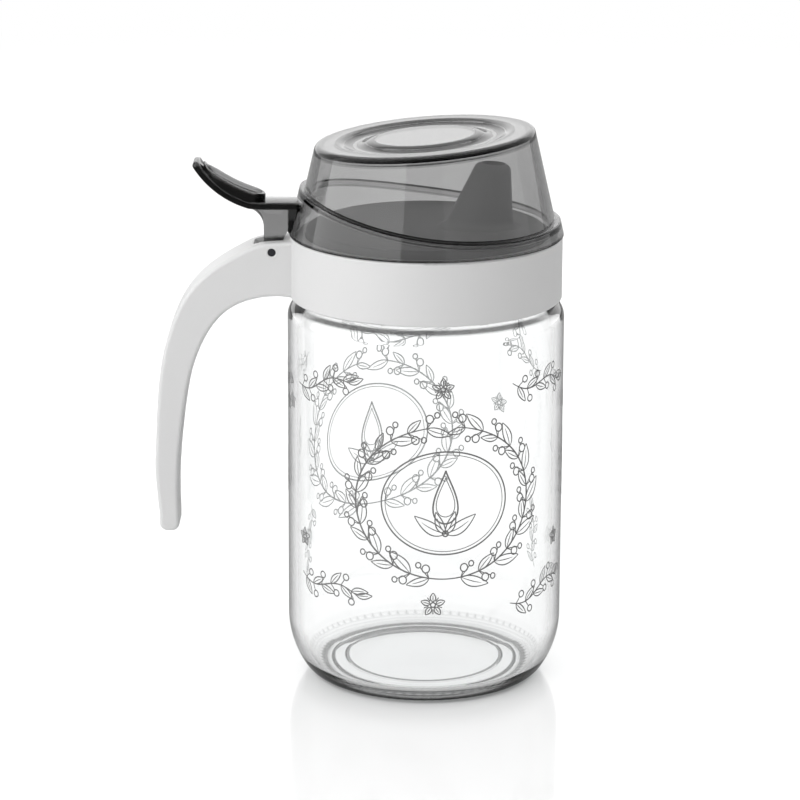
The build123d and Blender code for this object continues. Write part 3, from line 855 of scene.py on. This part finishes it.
def ink_twig(shape, centre, length, lean, stroke):
    """Lying twig: a stem bent like a sine wave, with leaves to either side and berries across from them."""
    lean = np.radians(lean)
    t = np.linspace(-0.5, 0.5, 40)
    stem = np.stack([length * t, 0.07 * length * np.sin(2 * np.pi * t)], -1)
    ink_line(shape, turned(stem, lean, centre), 1.15 * stroke, 0.4)
    for k, share in enumerate(np.linspace(-0.4, 0.42, 6)):
        place = np.array([length * share, 0.07 * length * np.sin(2 * np.pi * share)])
        slope = np.arctan(0.44 * np.cos(2 * np.pi * share))
        side = 1 if k % 2 else -1
        foot = turned(place[None], lean, centre)[0]
        ink_leaf(shape, foot, lean + slope + side * 0.7, 0.24 * length, 0.085 * length, -0.15 * side, stroke)
        fruit = place + 0.1 * length * np.array([np.cos(slope - side * 1.1), np.sin(slope - side * 1.1)])
        ink_line(shape, turned(np.linspace(place, fruit, 4), lean, centre), 0.8 * stroke)
        fruit = place + 0.14 * length * np.array([np.cos(slope - side * 1.1), np.sin(slope - side * 1.1)])
        ink_ring(shape, turned(fruit[None], lean, centre)[0], 0.042 * length, stroke)
    tip = turned(stem[-1:], lean, centre)[0]
    ink_leaf(shape, tip, lean + 0.1, 0.22 * length, 0.08 * length, 0.1, stroke)


def ink_floret(shape, centre, size, stroke):
    """Five-petalled flower head with a ring in its middle and short rays between the petals."""
    ink_ring(shape, centre, 0.16 * size, stroke)
    for k in range(5):
        angle = np.radians(90 + 72 * k)
        way = np.array([np.cos(angle), np.sin(angle)])
        ink_leaf(shape, centre + 0.2 * size * way, angle, 0.62 * size, 0.36 * size, 0.0, stroke)
        way = np.array([np.cos(angle + 0.628), np.sin(angle + 0.628)])
        ink_line(shape, np.linspace(centre + 0.3 * size * way, centre + 0.62 * size * way, 4), 0.8 * stroke)


# Lid

def ledge_height(x):
    """Height of the swept ledge at x: the low side of a large circle, z0 + R - sqrt(R^2 - (x - low_x)^2)."""
    return LID_Z + LEDGE_LOW_HEIGHT + LEDGE_SWEEP_R - np.sqrt(LEDGE_SWEEP_R**2 - (x - LEDGE_LOW_X) ** 2)


def on_cone(base_r, height_at, a):
    """Ring where the wall of radius base_r at the bottom meets a height given over x, found by iteration."""
    r = np.full_like(a, base_r)
    for _ in range(12):
        z = height_at(r * np.cos(a))
        r = base_r - LID_SLOPE * (z - LID_Z)
    return np.stack([r * np.cos(a), r * np.sin(a), z], -1)


def top_ring(radius, drop, a):
    """Ring of the slanted top, z = top height + x times its slope - drop, about the middle of its outline."""
    middle = -(LID_WALL_R - LID_SLOPE * LID_TOP_HEIGHT) * LID_SLOPE * LID_TOP_SLOPE
    x = middle + radius * np.cos(a)
    return np.stack([x, radius * np.sin(a), LID_Z + LID_TOP_HEIGHT + LID_TOP_SLOPE * x - drop], -1)


def lid_shell_shape():
    """Lid's shell: at each angle a profile with rounded corners runs over the top, the wall, the ledge and
    the skirt, round the bottom edge and back inside, set in by the wall's thickness."""
    a = fan(LID_STEPS)

    def top_plane(drop):
        return lambda x: LID_Z + LID_TOP_HEIGHT + LID_TOP_SLOPE * x - drop

    def ledge_underside(x):
        return ledge_height(x) - LID_WALL

    def bottom(x):
        return LID_Z + 0.0 * x

    outer_wall, outer_skirt = LID_WALL_R - LID_SKIN, LID_R - LID_SKIN
    inner_wall, inner_skirt = LID_WALL_R - LID_WALL, LID_R - LID_WALL
    swell = LID_TOP_THICKNESS + VALLEY_DEPTH
    # Each ring: its corner points, the cut that rounds them, and its mark of painted shade
    rings = [
        (top_ring(0.0, LID_SKIN, a), 0, 0),
        (top_ring(VALLEY_INNER_R, LID_SKIN, a), 1.4, 1.0),
        (top_ring(VALLEY_INNER_R + VALLEY_RUN, VALLEY_DEPTH, a), 1.4, 0.96),
        (top_ring(VALLEY_OUTER_R - VALLEY_RUN, VALLEY_DEPTH, a), 1.4, 0.96),
        (top_ring(VALLEY_OUTER_R, LID_SKIN, a), 1.4, 0.8),
        (on_cone(outer_wall, top_plane(LID_SKIN), a), 1.7, (0.0, 1.0)),
        (on_cone(outer_wall, ledge_height, a), 0.35, 1.0),
        (on_cone(outer_skirt, ledge_height, a), 0.4, 1.0),
        (on_cone(outer_skirt, bottom, a), 0.35, 0.8),
        (on_cone(inner_skirt, bottom, a), 0.35, 0.8),
        (on_cone(inner_skirt, ledge_underside, a), 0.6, 0.5),
        (on_cone(inner_wall, ledge_underside, a), 0.5, 0.5),
        (on_cone(inner_wall, top_plane(LID_TOP_THICKNESS), a), 1.4, 0.5),
        (top_ring(VALLEY_OUTER_R + SWELL_MARGIN, LID_TOP_THICKNESS, a), 1.0, 0),
        (top_ring(VALLEY_OUTER_R + SWELL_MARGIN - VALLEY_RUN, swell, a), 1.2, 0),
        (top_ring(VALLEY_INNER_R - SWELL_MARGIN + VALLEY_RUN, swell, a), 1.2, 0),
        (top_ring(VALLEY_INNER_R - SWELL_MARGIN, LID_TOP_THICKNESS, a), 1.0, 0),
        (top_ring(0.0, LID_TOP_THICKNESS, a), 0, 0),
    ]
    corners, cuts, shade_marks = zip(*rings)
    path, edge = rounded(np.stack(corners), cuts, 7, 0.12, shade_marks)
    return Shape().add(path, edge=edge)


def lever_point(radius, angle):
    """Point (x, z) on the lever's arc, its angle from straight down towards -X."""
    return np.stack([LEVER_X - radius * np.sin(angle), LEVER_Z - radius * np.cos(angle)], -1)


def lever_shape():
    """Neck plate and lever in one: a rounded rectangle carried along a straight run and an arc, its width
    drawn in along a quarter circle at the tip."""
    middle_r = LEVER_R - PLATE_THICKNESS / 2
    plate_z = PLATE_Z + PLATE_THICKNESS / 2
    run = fill_line((LEVER_ROOT_X, plate_z), (LEVER_RUN_X, plate_z), 12)
    bend = lever_point(middle_r, np.linspace(LEVER_START + 0.03, LEVER_TIP, 60))
    path = np.vstack([run, bend])
    along = np.gradient(path, axis=0)
    along /= np.linalg.norm(along, axis=1, keepdims=True)
    up = np.stack([along[:, 1], -along[:, 0]], -1)
    reach = np.concatenate([[0], np.cumsum(np.linalg.norm(np.diff(path, axis=0), axis=1))])
    left = reach[-1] - reach
    tip = np.clip(left, 0, LEVER_CORNER_R)
    half_w = 0.5 * LEVER_WIDTH - LEVER_CORNER_R + np.sqrt(LEVER_CORNER_R**2 - (LEVER_CORNER_R - tip) ** 2)
    blunt = np.clip(left, 0, LEVER_BLUNT)
    half_t = 0.5 * PLATE_THICKNESS * np.sqrt(np.clip(1 - (1 - blunt / LEVER_BLUNT) ** 2, 0.04, 1))
    q = np.radians(np.linspace(0, 90, 5))
    corner = np.stack([np.cos(q), np.sin(q)], -1)
    section = []
    for sx, sz in ((1, 1), (-1, 1), (-1, -1), (1, -1)):
        bits = corner if sx * sz > 0 else corner[::-1]
        section.append(np.stack([sx * (bits[:, 0] - 1), sz * (bits[:, 1] - 1), sx + 0 * q, sz + 0 * q], -1))
    section = np.vstack(section)
    round_edge = np.minimum(LEVER_EDGE, 0.9 * half_t)[:, None]
    across = section[None, :, 2] * half_w[:, None] + section[None, :, 0] * round_edge
    lift = section[None, :, 3] * half_t[:, None] + section[None, :, 1] * round_edge
    x = path[:, :1] + up[:, :1] * lift
    z = path[:, 1:] + up[:, 1:] * lift
    return Shape().add(np.stack([x, across, z], -1), cap_start=True, cap_end=True)


def pad_radius(angle, drop):
    """Radius of the pad's top: it keeps clear of the lever's arc at first and nears it later, as 2t^2 - t."""
    t = (angle - PAD_START) / (PAD_END - PAD_START)
    top = LEVER_R - PLATE_THICKNESS - PAD_HEIGHT
    return top + (PAD_HEIGHT - PAD_TIP_HEIGHT) * np.clip(2 * t**2 - t, -0.2, 1) + drop


def pad_shape():
    """Thumb pad: rings of a long rounded outline shrink to its middle line, and each ring's depth gives side,
    rim, dish and the fine ribs across the dish."""
    left, right = (lever_point(pad_radius(end, 0), end)[0] for end in (PAD_END, PAD_START))
    half = 0.5 * LEVER_WIDTH - PAD_MARGIN
    middle, straight = 0.5 * (left + right), 0.5 * (right - left) - half
    line = np.linspace(-straight, straight, 181)
    turn = np.radians(np.linspace(-90, 90, 25))
    outline_u = np.concatenate([line, straight + 0 * turn, line[::-1], -straight + 0 * turn])
    across, around = np.stack([0 * line, 1 + 0 * line], -1), np.stack([np.cos(turn), np.sin(turn)], -1)
    outward = np.concatenate([-across, around, across, -around])
    inset, depth = np.array([(0.0, PAD_HEIGHT + PAD_SINK), *PAD_SECTION, (half, PAD_DISH)]).T
    u = outline_u[None] + outward[None, :, 0] * (half - inset)[:, None]
    v = outward[None, :, 1] * (half - inset)[:, None] + 0 * u
    x = middle + u
    angle = np.arcsin(np.clip((LEVER_X - x) / (LEVER_R - PLATE_THICKNESS - PAD_HEIGHT), -1, 1))
    ribs = PAD_RIB * (0.5 + 0.5 * np.cos(2 * np.pi * u / PAD_RIB_SPACING))
    ribs = ribs * np.clip((inset[:, None] - PAD_RIM) / 0.5, 0, 1)
    radius = pad_radius(angle, depth[:, None] - ribs)
    radius = np.minimum(radius, LEVER_R - PLATE_THICKNESS + PAD_SINK)
    z = LEVER_Z - np.sqrt(np.maximum(radius**2 - (LEVER_X - x) ** 2, 0))
    return Shape().add(np.stack([x, v, z], -1)[:, ::-1], cap_start=True)


def web_shape():
    """Hinge web: one outline of the knuckle's circle, toe, plate and round gusset, with its edges rounded."""
    gusset_x = PIN_X - WEB_HALF_DEPTH - GUSSET_R
    reach = LEVER_R + GUSSET_R
    gusset_z = LEVER_Z - np.sqrt(reach**2 - (gusset_x - LEVER_X) ** 2)
    touch = np.arcsin((LEVER_X - gusset_x) / reach)
    web_top = PLATE_Z + 0.5 * PLATE_THICKNESS
    left_turn = np.degrees(np.arccos(-WEB_HALF_DEPTH / KNUCKLE_R))
    knuckle = arc(PIN_X, PIN_Z, KNUCKLE_R, left_turn, KNUCKLE_TURN, 40)
    toe = (FLANGE_X + WEB_SINK, FLANGE_Z + TOE_RISE)
    root = (FLANGE_X + WEB_SINK, web_top)
    contact = lever_point(LEVER_R - 0.5 * PLATE_THICKNESS, touch)
    gusset = arc(gusset_x, gusset_z, GUSSET_R, 90 - np.degrees(touch), 0, 20)
    foot = (PIN_X - WEB_HALF_DEPTH, PIN_Z + KNUCKLE_R * np.sin(np.radians(left_turn)))
    top = [fill_line(toe, root, 6), fill_line(root, contact, 6), [contact]]
    outline = np.vstack([knuckle, *top, gusset, fill_line(gusset[-1], foot, 8)[1:]])
    return rounded_slab(outline, WEB_WIDTH / 2, BRACKET_EDGE)


def flange_shape():
    """Upright plate between the neck plate and the skirt."""
    x0, x1, z0, z1 = FLANGE_X, FLANGE_X + FLANGE_THICKNESS, FLANGE_Z, PLATE_Z + FLANGE_OVERLAP
    corners = np.array([(x0, z1), (x0, z0), (x1, z0), (x1 + FLANGE_FLARE, z1), (x0, z1)])
    cuts = [0, BRACKET_EDGE, BRACKET_EDGE, BRACKET_EDGE, 0]
    return rounded_slab(rounded(corners, cuts, 4, 0.1)[:-1], PLATE_WIDTH / 2, BRACKET_EDGE)


# Insert and hinge details

def spout_blend_shape():
    """Fillet round the spout's root: its oval set out by R (1 - sqrt(1 - (1 - h/R)^2)) at the height h."""
    reach = SPOUT_FILLET_R
    a = fan(96)[None]
    h = reach * (1 - np.cos(np.radians(np.linspace(0, 90, 12))))[:, None]
    share = (h + SPOUT_ROOT_SINK) / (SPOUT_TIP_HEIGHT + SPOUT_ROOT_SINK)
    half_x = SPOUT_ROOT_HALF[0] + (SPOUT_TIP_R - SPOUT_ROOT_HALF[0]) * share
    half_y = SPOUT_ROOT_HALF[1] + (SPOUT_TIP_R - SPOUT_ROOT_HALF[1]) * share
    out = reach - np.sqrt(np.clip(reach**2 - (reach - h) ** 2, 0, None)) + 0.01
    middle = SPOUT_ROOT_X + (SPOUT_TIP_X - SPOUT_ROOT_X) * share
    x = middle + (half_x + out) * np.cos(a)
    skin = np.stack([x, (half_y + out) * np.sin(a), DECK_Z + h + 0 * x], -1)
    x = middle + (half_x - SPOUT_SKIN) * np.cos(a)
    back = np.stack([x, (half_y - SPOUT_SKIN) * np.sin(a), DECK_Z - 0.2 + h * 0.98 + 0 * x], -1)
    return Shape().add(np.concatenate([skin, back[::-1]]), wrap_rows=True)


def seal_shape():
    """Seal ring: a washer's section with rounded corners and a groove in its top, turned about the axis."""
    z0, z1 = SEAL_BOTTOM_Z, SEAL_BOTTOM_Z + SEAL_THICKNESS
    middle = 0.5 * (SEAL_INNER_R + SEAL_OUTER_R)
    top_half, low_half = SEAL_GROOVE_HALF
    section = np.array(
        [
            (middle, z0),
            (SEAL_OUTER_R, z0),
            (SEAL_OUTER_R, z1),
            (middle + top_half, z1),
            (middle + low_half, z1 - SEAL_GROOVE),
            (middle - low_half, z1 - SEAL_GROOVE),
            (middle - top_half, z1),
            (SEAL_INNER_R, z1),
            (SEAL_INNER_R, z0),
            (middle, z0),
        ]
    )
    path = rounded(section, [0, 0.4, 0.4, 0.15, 0.15, 0.15, 0.15, 0.4, 0.4, 0], 5, 0.05)
    return Shape().add(revolve(path[:-1], 160), wrap_rows=True)


def countersink_shape(side):
    """Shallow rounded ring about the pin's end, r cos a and r sin a in the cheek's plane."""
    profile = np.array([(1.35, -0.5), (1.35, -0.12), (1.6, 0.06), (1.95, 0.06), (2.2, -0.12), (2.2, -0.5)])
    path = rounded(profile, [0, 0.1, 0.1, 0.1, 0.1, 0], 4, 0.03)
    a = fan(64)
    r, out = path[:, :1], path[:, 1:]
    grid = np.stack([PIN_X + r * np.cos(a), side * (CHEEK_Y + out) + 0 * a, PIN_Z + r * np.sin(a)], -1)
    return Shape().add(grid, wrap_rows=True)


# Stage

def add_floor(look):
    """Wide glossy pale floor: plain white to the eye far from the object, paler in glass, darker in gloss."""
    corners = [(x * FLOOR_HALF, y * FLOOR_HALF, 0) for x, y in ((-1, -1), (1, -1), (1, 1), (-1, 1))]
    mesh = bpy.data.meshes.new("floor")
    mesh.from_pydata(corners, [], [(0, 1, 2, 3)])
    floor = bpy.data.objects.new("floor", mesh)
    bpy.context.scene.collection.objects.link(floor)
    material, tree, output = new_material("floor")
    paint = {"Base Color": (*look.floor_colour, 1), "Roughness": 0.06, "IOR": 1.6}
    paint = add_node(tree, "BsdfPrincipled", paint).outputs[0]
    place = add_node(tree, "TexCoord").outputs["Object"]
    reach = add_node(tree, "VectorMath", {0: place}, operation="LENGTH").outputs["Value"]
    far = ranged(tree, reach, *FLOOR_FADE, interpolation_type="SMOOTHSTEP")
    path = add_node(tree, "LightPath").outputs
    seen = combined(tree, "MULTIPLY", far, path["Is Camera Ray"])
    through = combined(tree, "MULTIPLY", path["Is Transmission Ray"], look.floor_glow)
    seen = combined(tree, "MAXIMUM", seen, through)
    in_gloss = combined(tree, "SUBTRACT", path["Is Glossy Ray"], path["Is Transmission Ray"])
    in_gloss = combined(tree, "MULTIPLY", in_gloss, 1 - look.floor_in_gloss)
    white = add_node(tree, "Emission", {"Color": (1, 1, 1, 1), "Strength": 1.0}).outputs[0]
    black = add_node(tree, "Emission", {"Color": (0, 0, 0, 1), "Strength": 0.0}).outputs[0]
    mix = add_node(tree, "MixShader", {0: seen, 1: paint, 2: white}).outputs[0]
    mix = add_node(tree, "MixShader", {0: in_gloss, 1: mix, 2: black}).outputs[0]
    tree.links.new(mix, output.inputs["Surface"])
    mesh.materials.append(material)


def add_surround(look):
    """World: white where it is looked at, also in gloss and through glass, and a plain fill for the rest."""
    world = bpy.data.worlds.new("surround")
    bpy.context.scene.world = world
    world.use_nodes = True
    tree = world.node_tree
    tree.nodes.clear()
    output = tree.nodes.new("ShaderNodeOutputWorld")
    path = add_node(tree, "LightPath").outputs
    seen = path["Is Camera Ray"]
    for ray in ("Is Glossy Ray", "Is Transmission Ray"):
        seen = combined(tree, "MAXIMUM", seen, path[ray])
    fill, white = (
        add_node(tree, "Background", {"Color": (1, 1, 1, 1), "Strength": strength}).outputs[0]
        for strength in (look.fill, 1.0)
    )
    mix = add_node(tree, "MixShader", {0: seen, 1: fill, 2: white}).outputs[0]
    tree.links.new(mix, output.inputs["Surface"])


def add_panel(name, radiance, size, place, target):
    """Rectangular soft light of a given radiance that faces a point. The camera and glass don't see it."""
    lamp = bpy.data.lights.new(name, "AREA")
    lamp.shape = "RECTANGLE"
    lamp.size, lamp.size_y = size
    lamp.energy = radiance * np.pi * size[0] * size[1]
    panel = bpy.data.objects.new(name, lamp)
    bpy.context.scene.collection.objects.link(panel)
    back = np.array(place, float) - np.array(target, float)
    back /= np.linalg.norm(back)
    side = np.cross((0, 0, 1), back)
    side /= np.linalg.norm(side)
    turn = np.eye(4)
    turn[:3, 0], turn[:3, 1], turn[:3, 2], turn[:3, 3] = side, np.cross(back, side), back, place
    panel.matrix_world = Matrix(turn.tolist())
    panel.visible_transmission = False
    panel.visible_camera = False
    return panel


def add_camera():
    """Camera of the reference view: a long lens a little above the lid, looking down 15 degrees."""
    camera = bpy.data.cameras.new("camera")
    camera.sensor_width = 36.0
    camera.lens = CAMERA_LENS
    viewer = bpy.data.objects.new("camera", camera)
    bpy.context.scene.collection.objects.link(viewer)
    pan, tilt, roll = (Matrix.Rotation(np.radians(angle), 4, axis) for angle, axis in zip(CAMERA_TURN, "ZXZ"))
    viewer.matrix_world = Matrix.Translation(CAMERA_PLACE) @ pan @ tilt @ roll
    bpy.context.scene.camera = viewer


# Properties

COLOUR = {"subtype": "COLOR", "min": 0.0, "max": 1.0}
SHARE = {"subtype": "FACTOR", "min": 0.0, "max": 1.0}
LIGHT = {"min": 0.0, "soft_max": 10.0}


class JarLook(bpy.types.PropertyGroup):
    """Clear glass and its print"""

    glass_tint: bpy.props.FloatVectorProperty(
        name="Glass", description="Colour of the clear glass", default=(0.985, 0.99, 0.99), **COLOUR
    )
    glass_edge: bpy.props.FloatProperty(
        name="Edge shade", description="Power of the shade where glass turns away", default=1.0, min=0, max=3
    )
    mirrored: bpy.props.FloatProperty(
        name="Mirrored glass", description="Brightness of the glass in the glossy floor", default=0.4, **SHARE
    )
    print_colour: bpy.props.FloatVectorProperty(
        name="Print", description="Colour of the fired print", default=(0.14, 0.14, 0.14), **COLOUR
    )
    print_back: bpy.props.FloatVectorProperty(
        name="Print's back", description="Colour of the print from inside", default=(0.4, 0.4, 0.4), **COLOUR
    )
    print_stroke: bpy.props.FloatProperty(
        name="Stroke", description="Width of the print's lines in millimetres", default=0.41, min=0.1, max=1.5
    )


class ClosureLook(bpy.types.PropertyGroup):
    """Mouldings of the closure"""

    collar_colour: bpy.props.FloatVectorProperty(
        name="Collar and handle", description="Colour of the moulding", default=(0.61, 0.61, 0.61), **COLOUR
    )
    insert_colour: bpy.props.FloatVectorProperty(
        name="Pour insert", description="Colour of the insert", default=(0.15, 0.15, 0.15), **COLOUR
    )
    seal_colour: bpy.props.FloatVectorProperty(
        name="Seal", description="Colour of the seal ring", default=(0.7, 0.7, 0.68), **COLOUR
    )
    smoke_colour: bpy.props.FloatVectorProperty(
        name="Smoke", description="Tint of the lid", default=(0.04, 0.04, 0.04), **COLOUR
    )
    smoke_density: bpy.props.FloatProperty(
        name="Smoke depth", description="Density of the tint in the lid, per metre", default=200.0, min=0.0
    )


class StageLook(bpy.types.PropertyGroup):
    """Floor and lights of the studio"""

    floor_colour: bpy.props.FloatVectorProperty(
        name="Floor", description="Colour of the floor", default=(0.93, 0.93, 0.93), **COLOUR
    )
    floor_glow: bpy.props.FloatProperty(
        name="Floor in glass", description="Share of white in the floor through glass", default=0.5, **SHARE
    )
    floor_in_gloss: bpy.props.FloatProperty(
        name="Floor in gloss", description="Share of the floor that gloss mirrors", default=0.4, **SHARE
    )
    fill: bpy.props.FloatProperty(
        name="Fill", description="Strength of the light from all round", default=0.45, **LIGHT
    )
    key: bpy.props.FloatProperty(
        name="Key", description="Radiance of the key light on the left", default=2.2, **LIGHT
    )
    glow: bpy.props.FloatProperty(
        name="Softboxes", description="Radiance of the reflected softboxes", default=1.55, **LIGHT
    )
    overhead: bpy.props.FloatProperty(
        name="Overhead", description="Radiance of the overhead panel", default=1.25, **LIGHT
    )
    horizon: bpy.props.FloatProperty(
        name="Horizon", description="Radiance of the panel behind, seen in level gloss", default=0.5, **LIGHT
    )


# Operators

class BOTTLE_OT_jar(bpy.types.Operator):
    """Glass jar with its stepped floor, the short ribs round its foot and the thread on its neck"""

    bl_idname = "bottle.jar"
    bl_label = "Glass jar"

    def execute(self, context):
        glass = make_clear_glass(context.scene.bottle_jar)
        profile, shade_marks = jar_profile()
        grid, edge = press_foot_dashes(revolve(profile, JAR_STEPS), profile, shade_marks)
        jar = Shape().add(grid, edge=edge).mesh("jar_glass", 60.0)
        add_piece("jar_glass", jar, glass, "jar", ("glass_jar",))
        thread = helix_ribs(NECK_R, 1.05, outwards=True, low_z=129.8, half_thickness=0.55)
        add_piece("jar_thread", thread.mesh("jar_thread"), glass, "jar")
        return {"FINISHED"}


class BOTTLE_OT_print(bpy.types.Operator):
    """Fired print: two leafy wreaths round a drop, with twigs and flower heads between them"""

    bl_idname = "bottle.print"
    bl_label = "Print"

    def execute(self, context):
        look = context.scene.bottle_jar
        ink = make_ink(look)
        around = 2 * np.pi * JAR_R
        wreaths = {"print_wreath_front": WREATH_FRONT, "print_wreath_back": WREATH_BACK * around}
        for name, place in wreaths.items():
            shape = Shape()
            ink_wreath(shape, np.array([place, WREATH_LEVEL]), look)
            add_piece(name, shape.mesh(name), ink, "jar")
        for name, draw, places in (("print_twigs", ink_twig, TWIGS), ("print_florets", ink_floret, FLORETS)):
            shape = Shape()
            for share, level, *form in places:
                draw(shape, np.array([share * around, level]), *form, look.print_stroke)
            add_piece(name, shape.mesh(name), ink, "jar")
        return {"FINISHED"}


class BOTTLE_OT_closure(bpy.types.Operator):
    """Screw collar with its handle and thread, seal ring, pour insert and hinge pin"""

    bl_idname = "bottle.closure"
    bl_label = "Closure"

    def execute(self, context):
        look = context.scene.bottle_closure
        pale = make_moulded_plastic("pale_moulding", look.collar_colour, roughness=0.42, grain=0.25)
        grey = make_moulded_plastic("grey_moulding", look.insert_colour, roughness=0.5, grain=0.12)
        rubber = make_moulded_plastic("seal_rubber", look.seal_colour, roughness=0.65, grain=0.5)
        dress_node("screw_collar", pale)
        dress_node("pour_insert", grey)
        dress_node("hinge_pin", make_dark_steel())
        thread = helix_ribs(COLLAR_BORE_R, 0.95, outwards=False, low_z=128.3, half_thickness=0.5)
        add_piece("collar_thread", thread.mesh("collar_thread"), pale, "cap")
        add_piece("seal_washer", seal_shape().mesh("seal_washer"), rubber, "seal", ("seal_ring",))
        add_piece("spout_blend", spout_blend_shape().mesh("spout_blend"), grey, "cap")
        for name, side in (("pin_ring_near", -1), ("pin_ring_far", 1)):
            add_piece(name, countersink_shape(side).mesh(name), pale, "cap")
        return {"FINISHED"}


class BOTTLE_OT_lid(bpy.types.Operator):
    """Hinged lid: shell, flange, web, neck plate with the thumb lever, and the ribbed pad"""

    bl_idname = "bottle.lid"
    bl_label = "Lid"

    def execute(self, context):
        look = context.scene.bottle_closure
        wall = make_smoke_plastic("smoke_wall", look, THIN_SHADE_STOPS, depth=1.4)
        bracket = make_smoke_plastic("smoke_bracket", look, THICK_SHADE_STOPS, depth=1.15)
        lever = make_smoke_plastic("smoke_lever", look, BLACK_SHADE_STOPS, depth=5.0)
        pieces = (
            ("lid_shell", lid_shell_shape, 60.0, wall, ("flip_lid",)),
            ("lid_flange", flange_shape, 40.0, lever, ()),
            ("lid_web", web_shape, 40.0, bracket, ()),
            ("lid_lever", lever_shape, 40.0, lever, ()),
            ("lid_pad", pad_shape, 50.0, lever, ()),
        )
        for name, shape, sharp_angle, material, replaces in pieces:
            add_piece(name, shape().mesh(name, sharp_angle), material, "lid", replaces)
        return {"FINISHED"}


class BOTTLE_OT_stage(bpy.types.Operator):
    """Pale floor, white surround, softboxes and the camera"""

    bl_idname = "bottle.stage"
    bl_label = "Studio"

    def execute(self, context):
        look = context.scene.bottle_stage
        add_floor(look)
        add_surround(look)
        key = add_panel("key", look.key, (1.2, 1.5), (-1.0, -0.78, 0.69), LIT_POINT)
        key.visible_glossy = False
        horizon = add_panel("horizon", look.horizon, (3.4, 1.3), (0.0, 2.2, 0.76), LIT_POINT)
        horizon.visible_diffuse = False
        for name, azimuth, share in (("glow_left", -66.0, 1.0), ("glow_right", 61.0, 0.3)):
            a = np.radians(azimuth)
            place = (GLOW_REACH * np.sin(a), -GLOW_REACH * np.cos(a), GLOW_HEIGHT)
            glow = add_panel(name, share * look.glow, (2.8, 1.6), place, LIT_POINT)
            glow.visible_diffuse = False
        add_panel("overhead", look.overhead, (4.0, 4.0), OVERHEAD_PLACE, OVERHEAD_TARGET)
        add_camera()
        context.scene.view_settings.view_transform = "Standard"
        return {"FINISHED"}


# Panel and registration

class BOTTLE_PT_panel(bpy.types.Panel):
    """Lists the bottle's pieces, their colours and the studio"""

    bl_idname = "BOTTLE_PT_panel"
    bl_label = "Oil Bottle"
    bl_space_type = "VIEW_3D"
    bl_region_type = "UI"
    bl_category = "Oil Bottle"

    def draw(self, context):
        for group in ("bottle_jar", "bottle_closure", "bottle_stage"):
            box = self.layout.box()
            settings = getattr(context.scene, group)
            for name in settings.bl_rna.properties.keys():
                if name not in ("rna_type", "name"):
                    box.prop(settings, name)
        for step in STEPS:
            self.layout.operator(step)


STEPS = ("bottle.jar", "bottle.print", "bottle.closure", "bottle.lid", "bottle.stage")
CLASSES = (
    JarLook,
    ClosureLook,
    StageLook,
    BOTTLE_OT_jar,
    BOTTLE_OT_print,
    BOTTLE_OT_closure,
    BOTTLE_OT_lid,
    BOTTLE_OT_stage,
    BOTTLE_PT_panel,
)


def register():
    """Adds the classes and the scene's settings to Blender."""
    for cls in CLASSES:
        bpy.utils.register_class(cls)
    bpy.types.Scene.bottle_jar = bpy.props.PointerProperty(type=JarLook)
    bpy.types.Scene.bottle_closure = bpy.props.PointerProperty(type=ClosureLook)
    bpy.types.Scene.bottle_stage = bpy.props.PointerProperty(type=StageLook)


def unregister():
    """Takes away all that register() added."""
    del bpy.types.Scene.bottle_stage
    del bpy.types.Scene.bottle_closure
    del bpy.types.Scene.bottle_jar
    for cls in reversed(CLASSES):
        bpy.utils.unregister_class(cls)


def main():
    """Registers the add-on and builds every piece and the studio."""
    register()
    for step in STEPS:
        group, name = step.split(".")
        getattr(getattr(bpy.ops, group), name)()


if __name__ == "__main__":
    main()
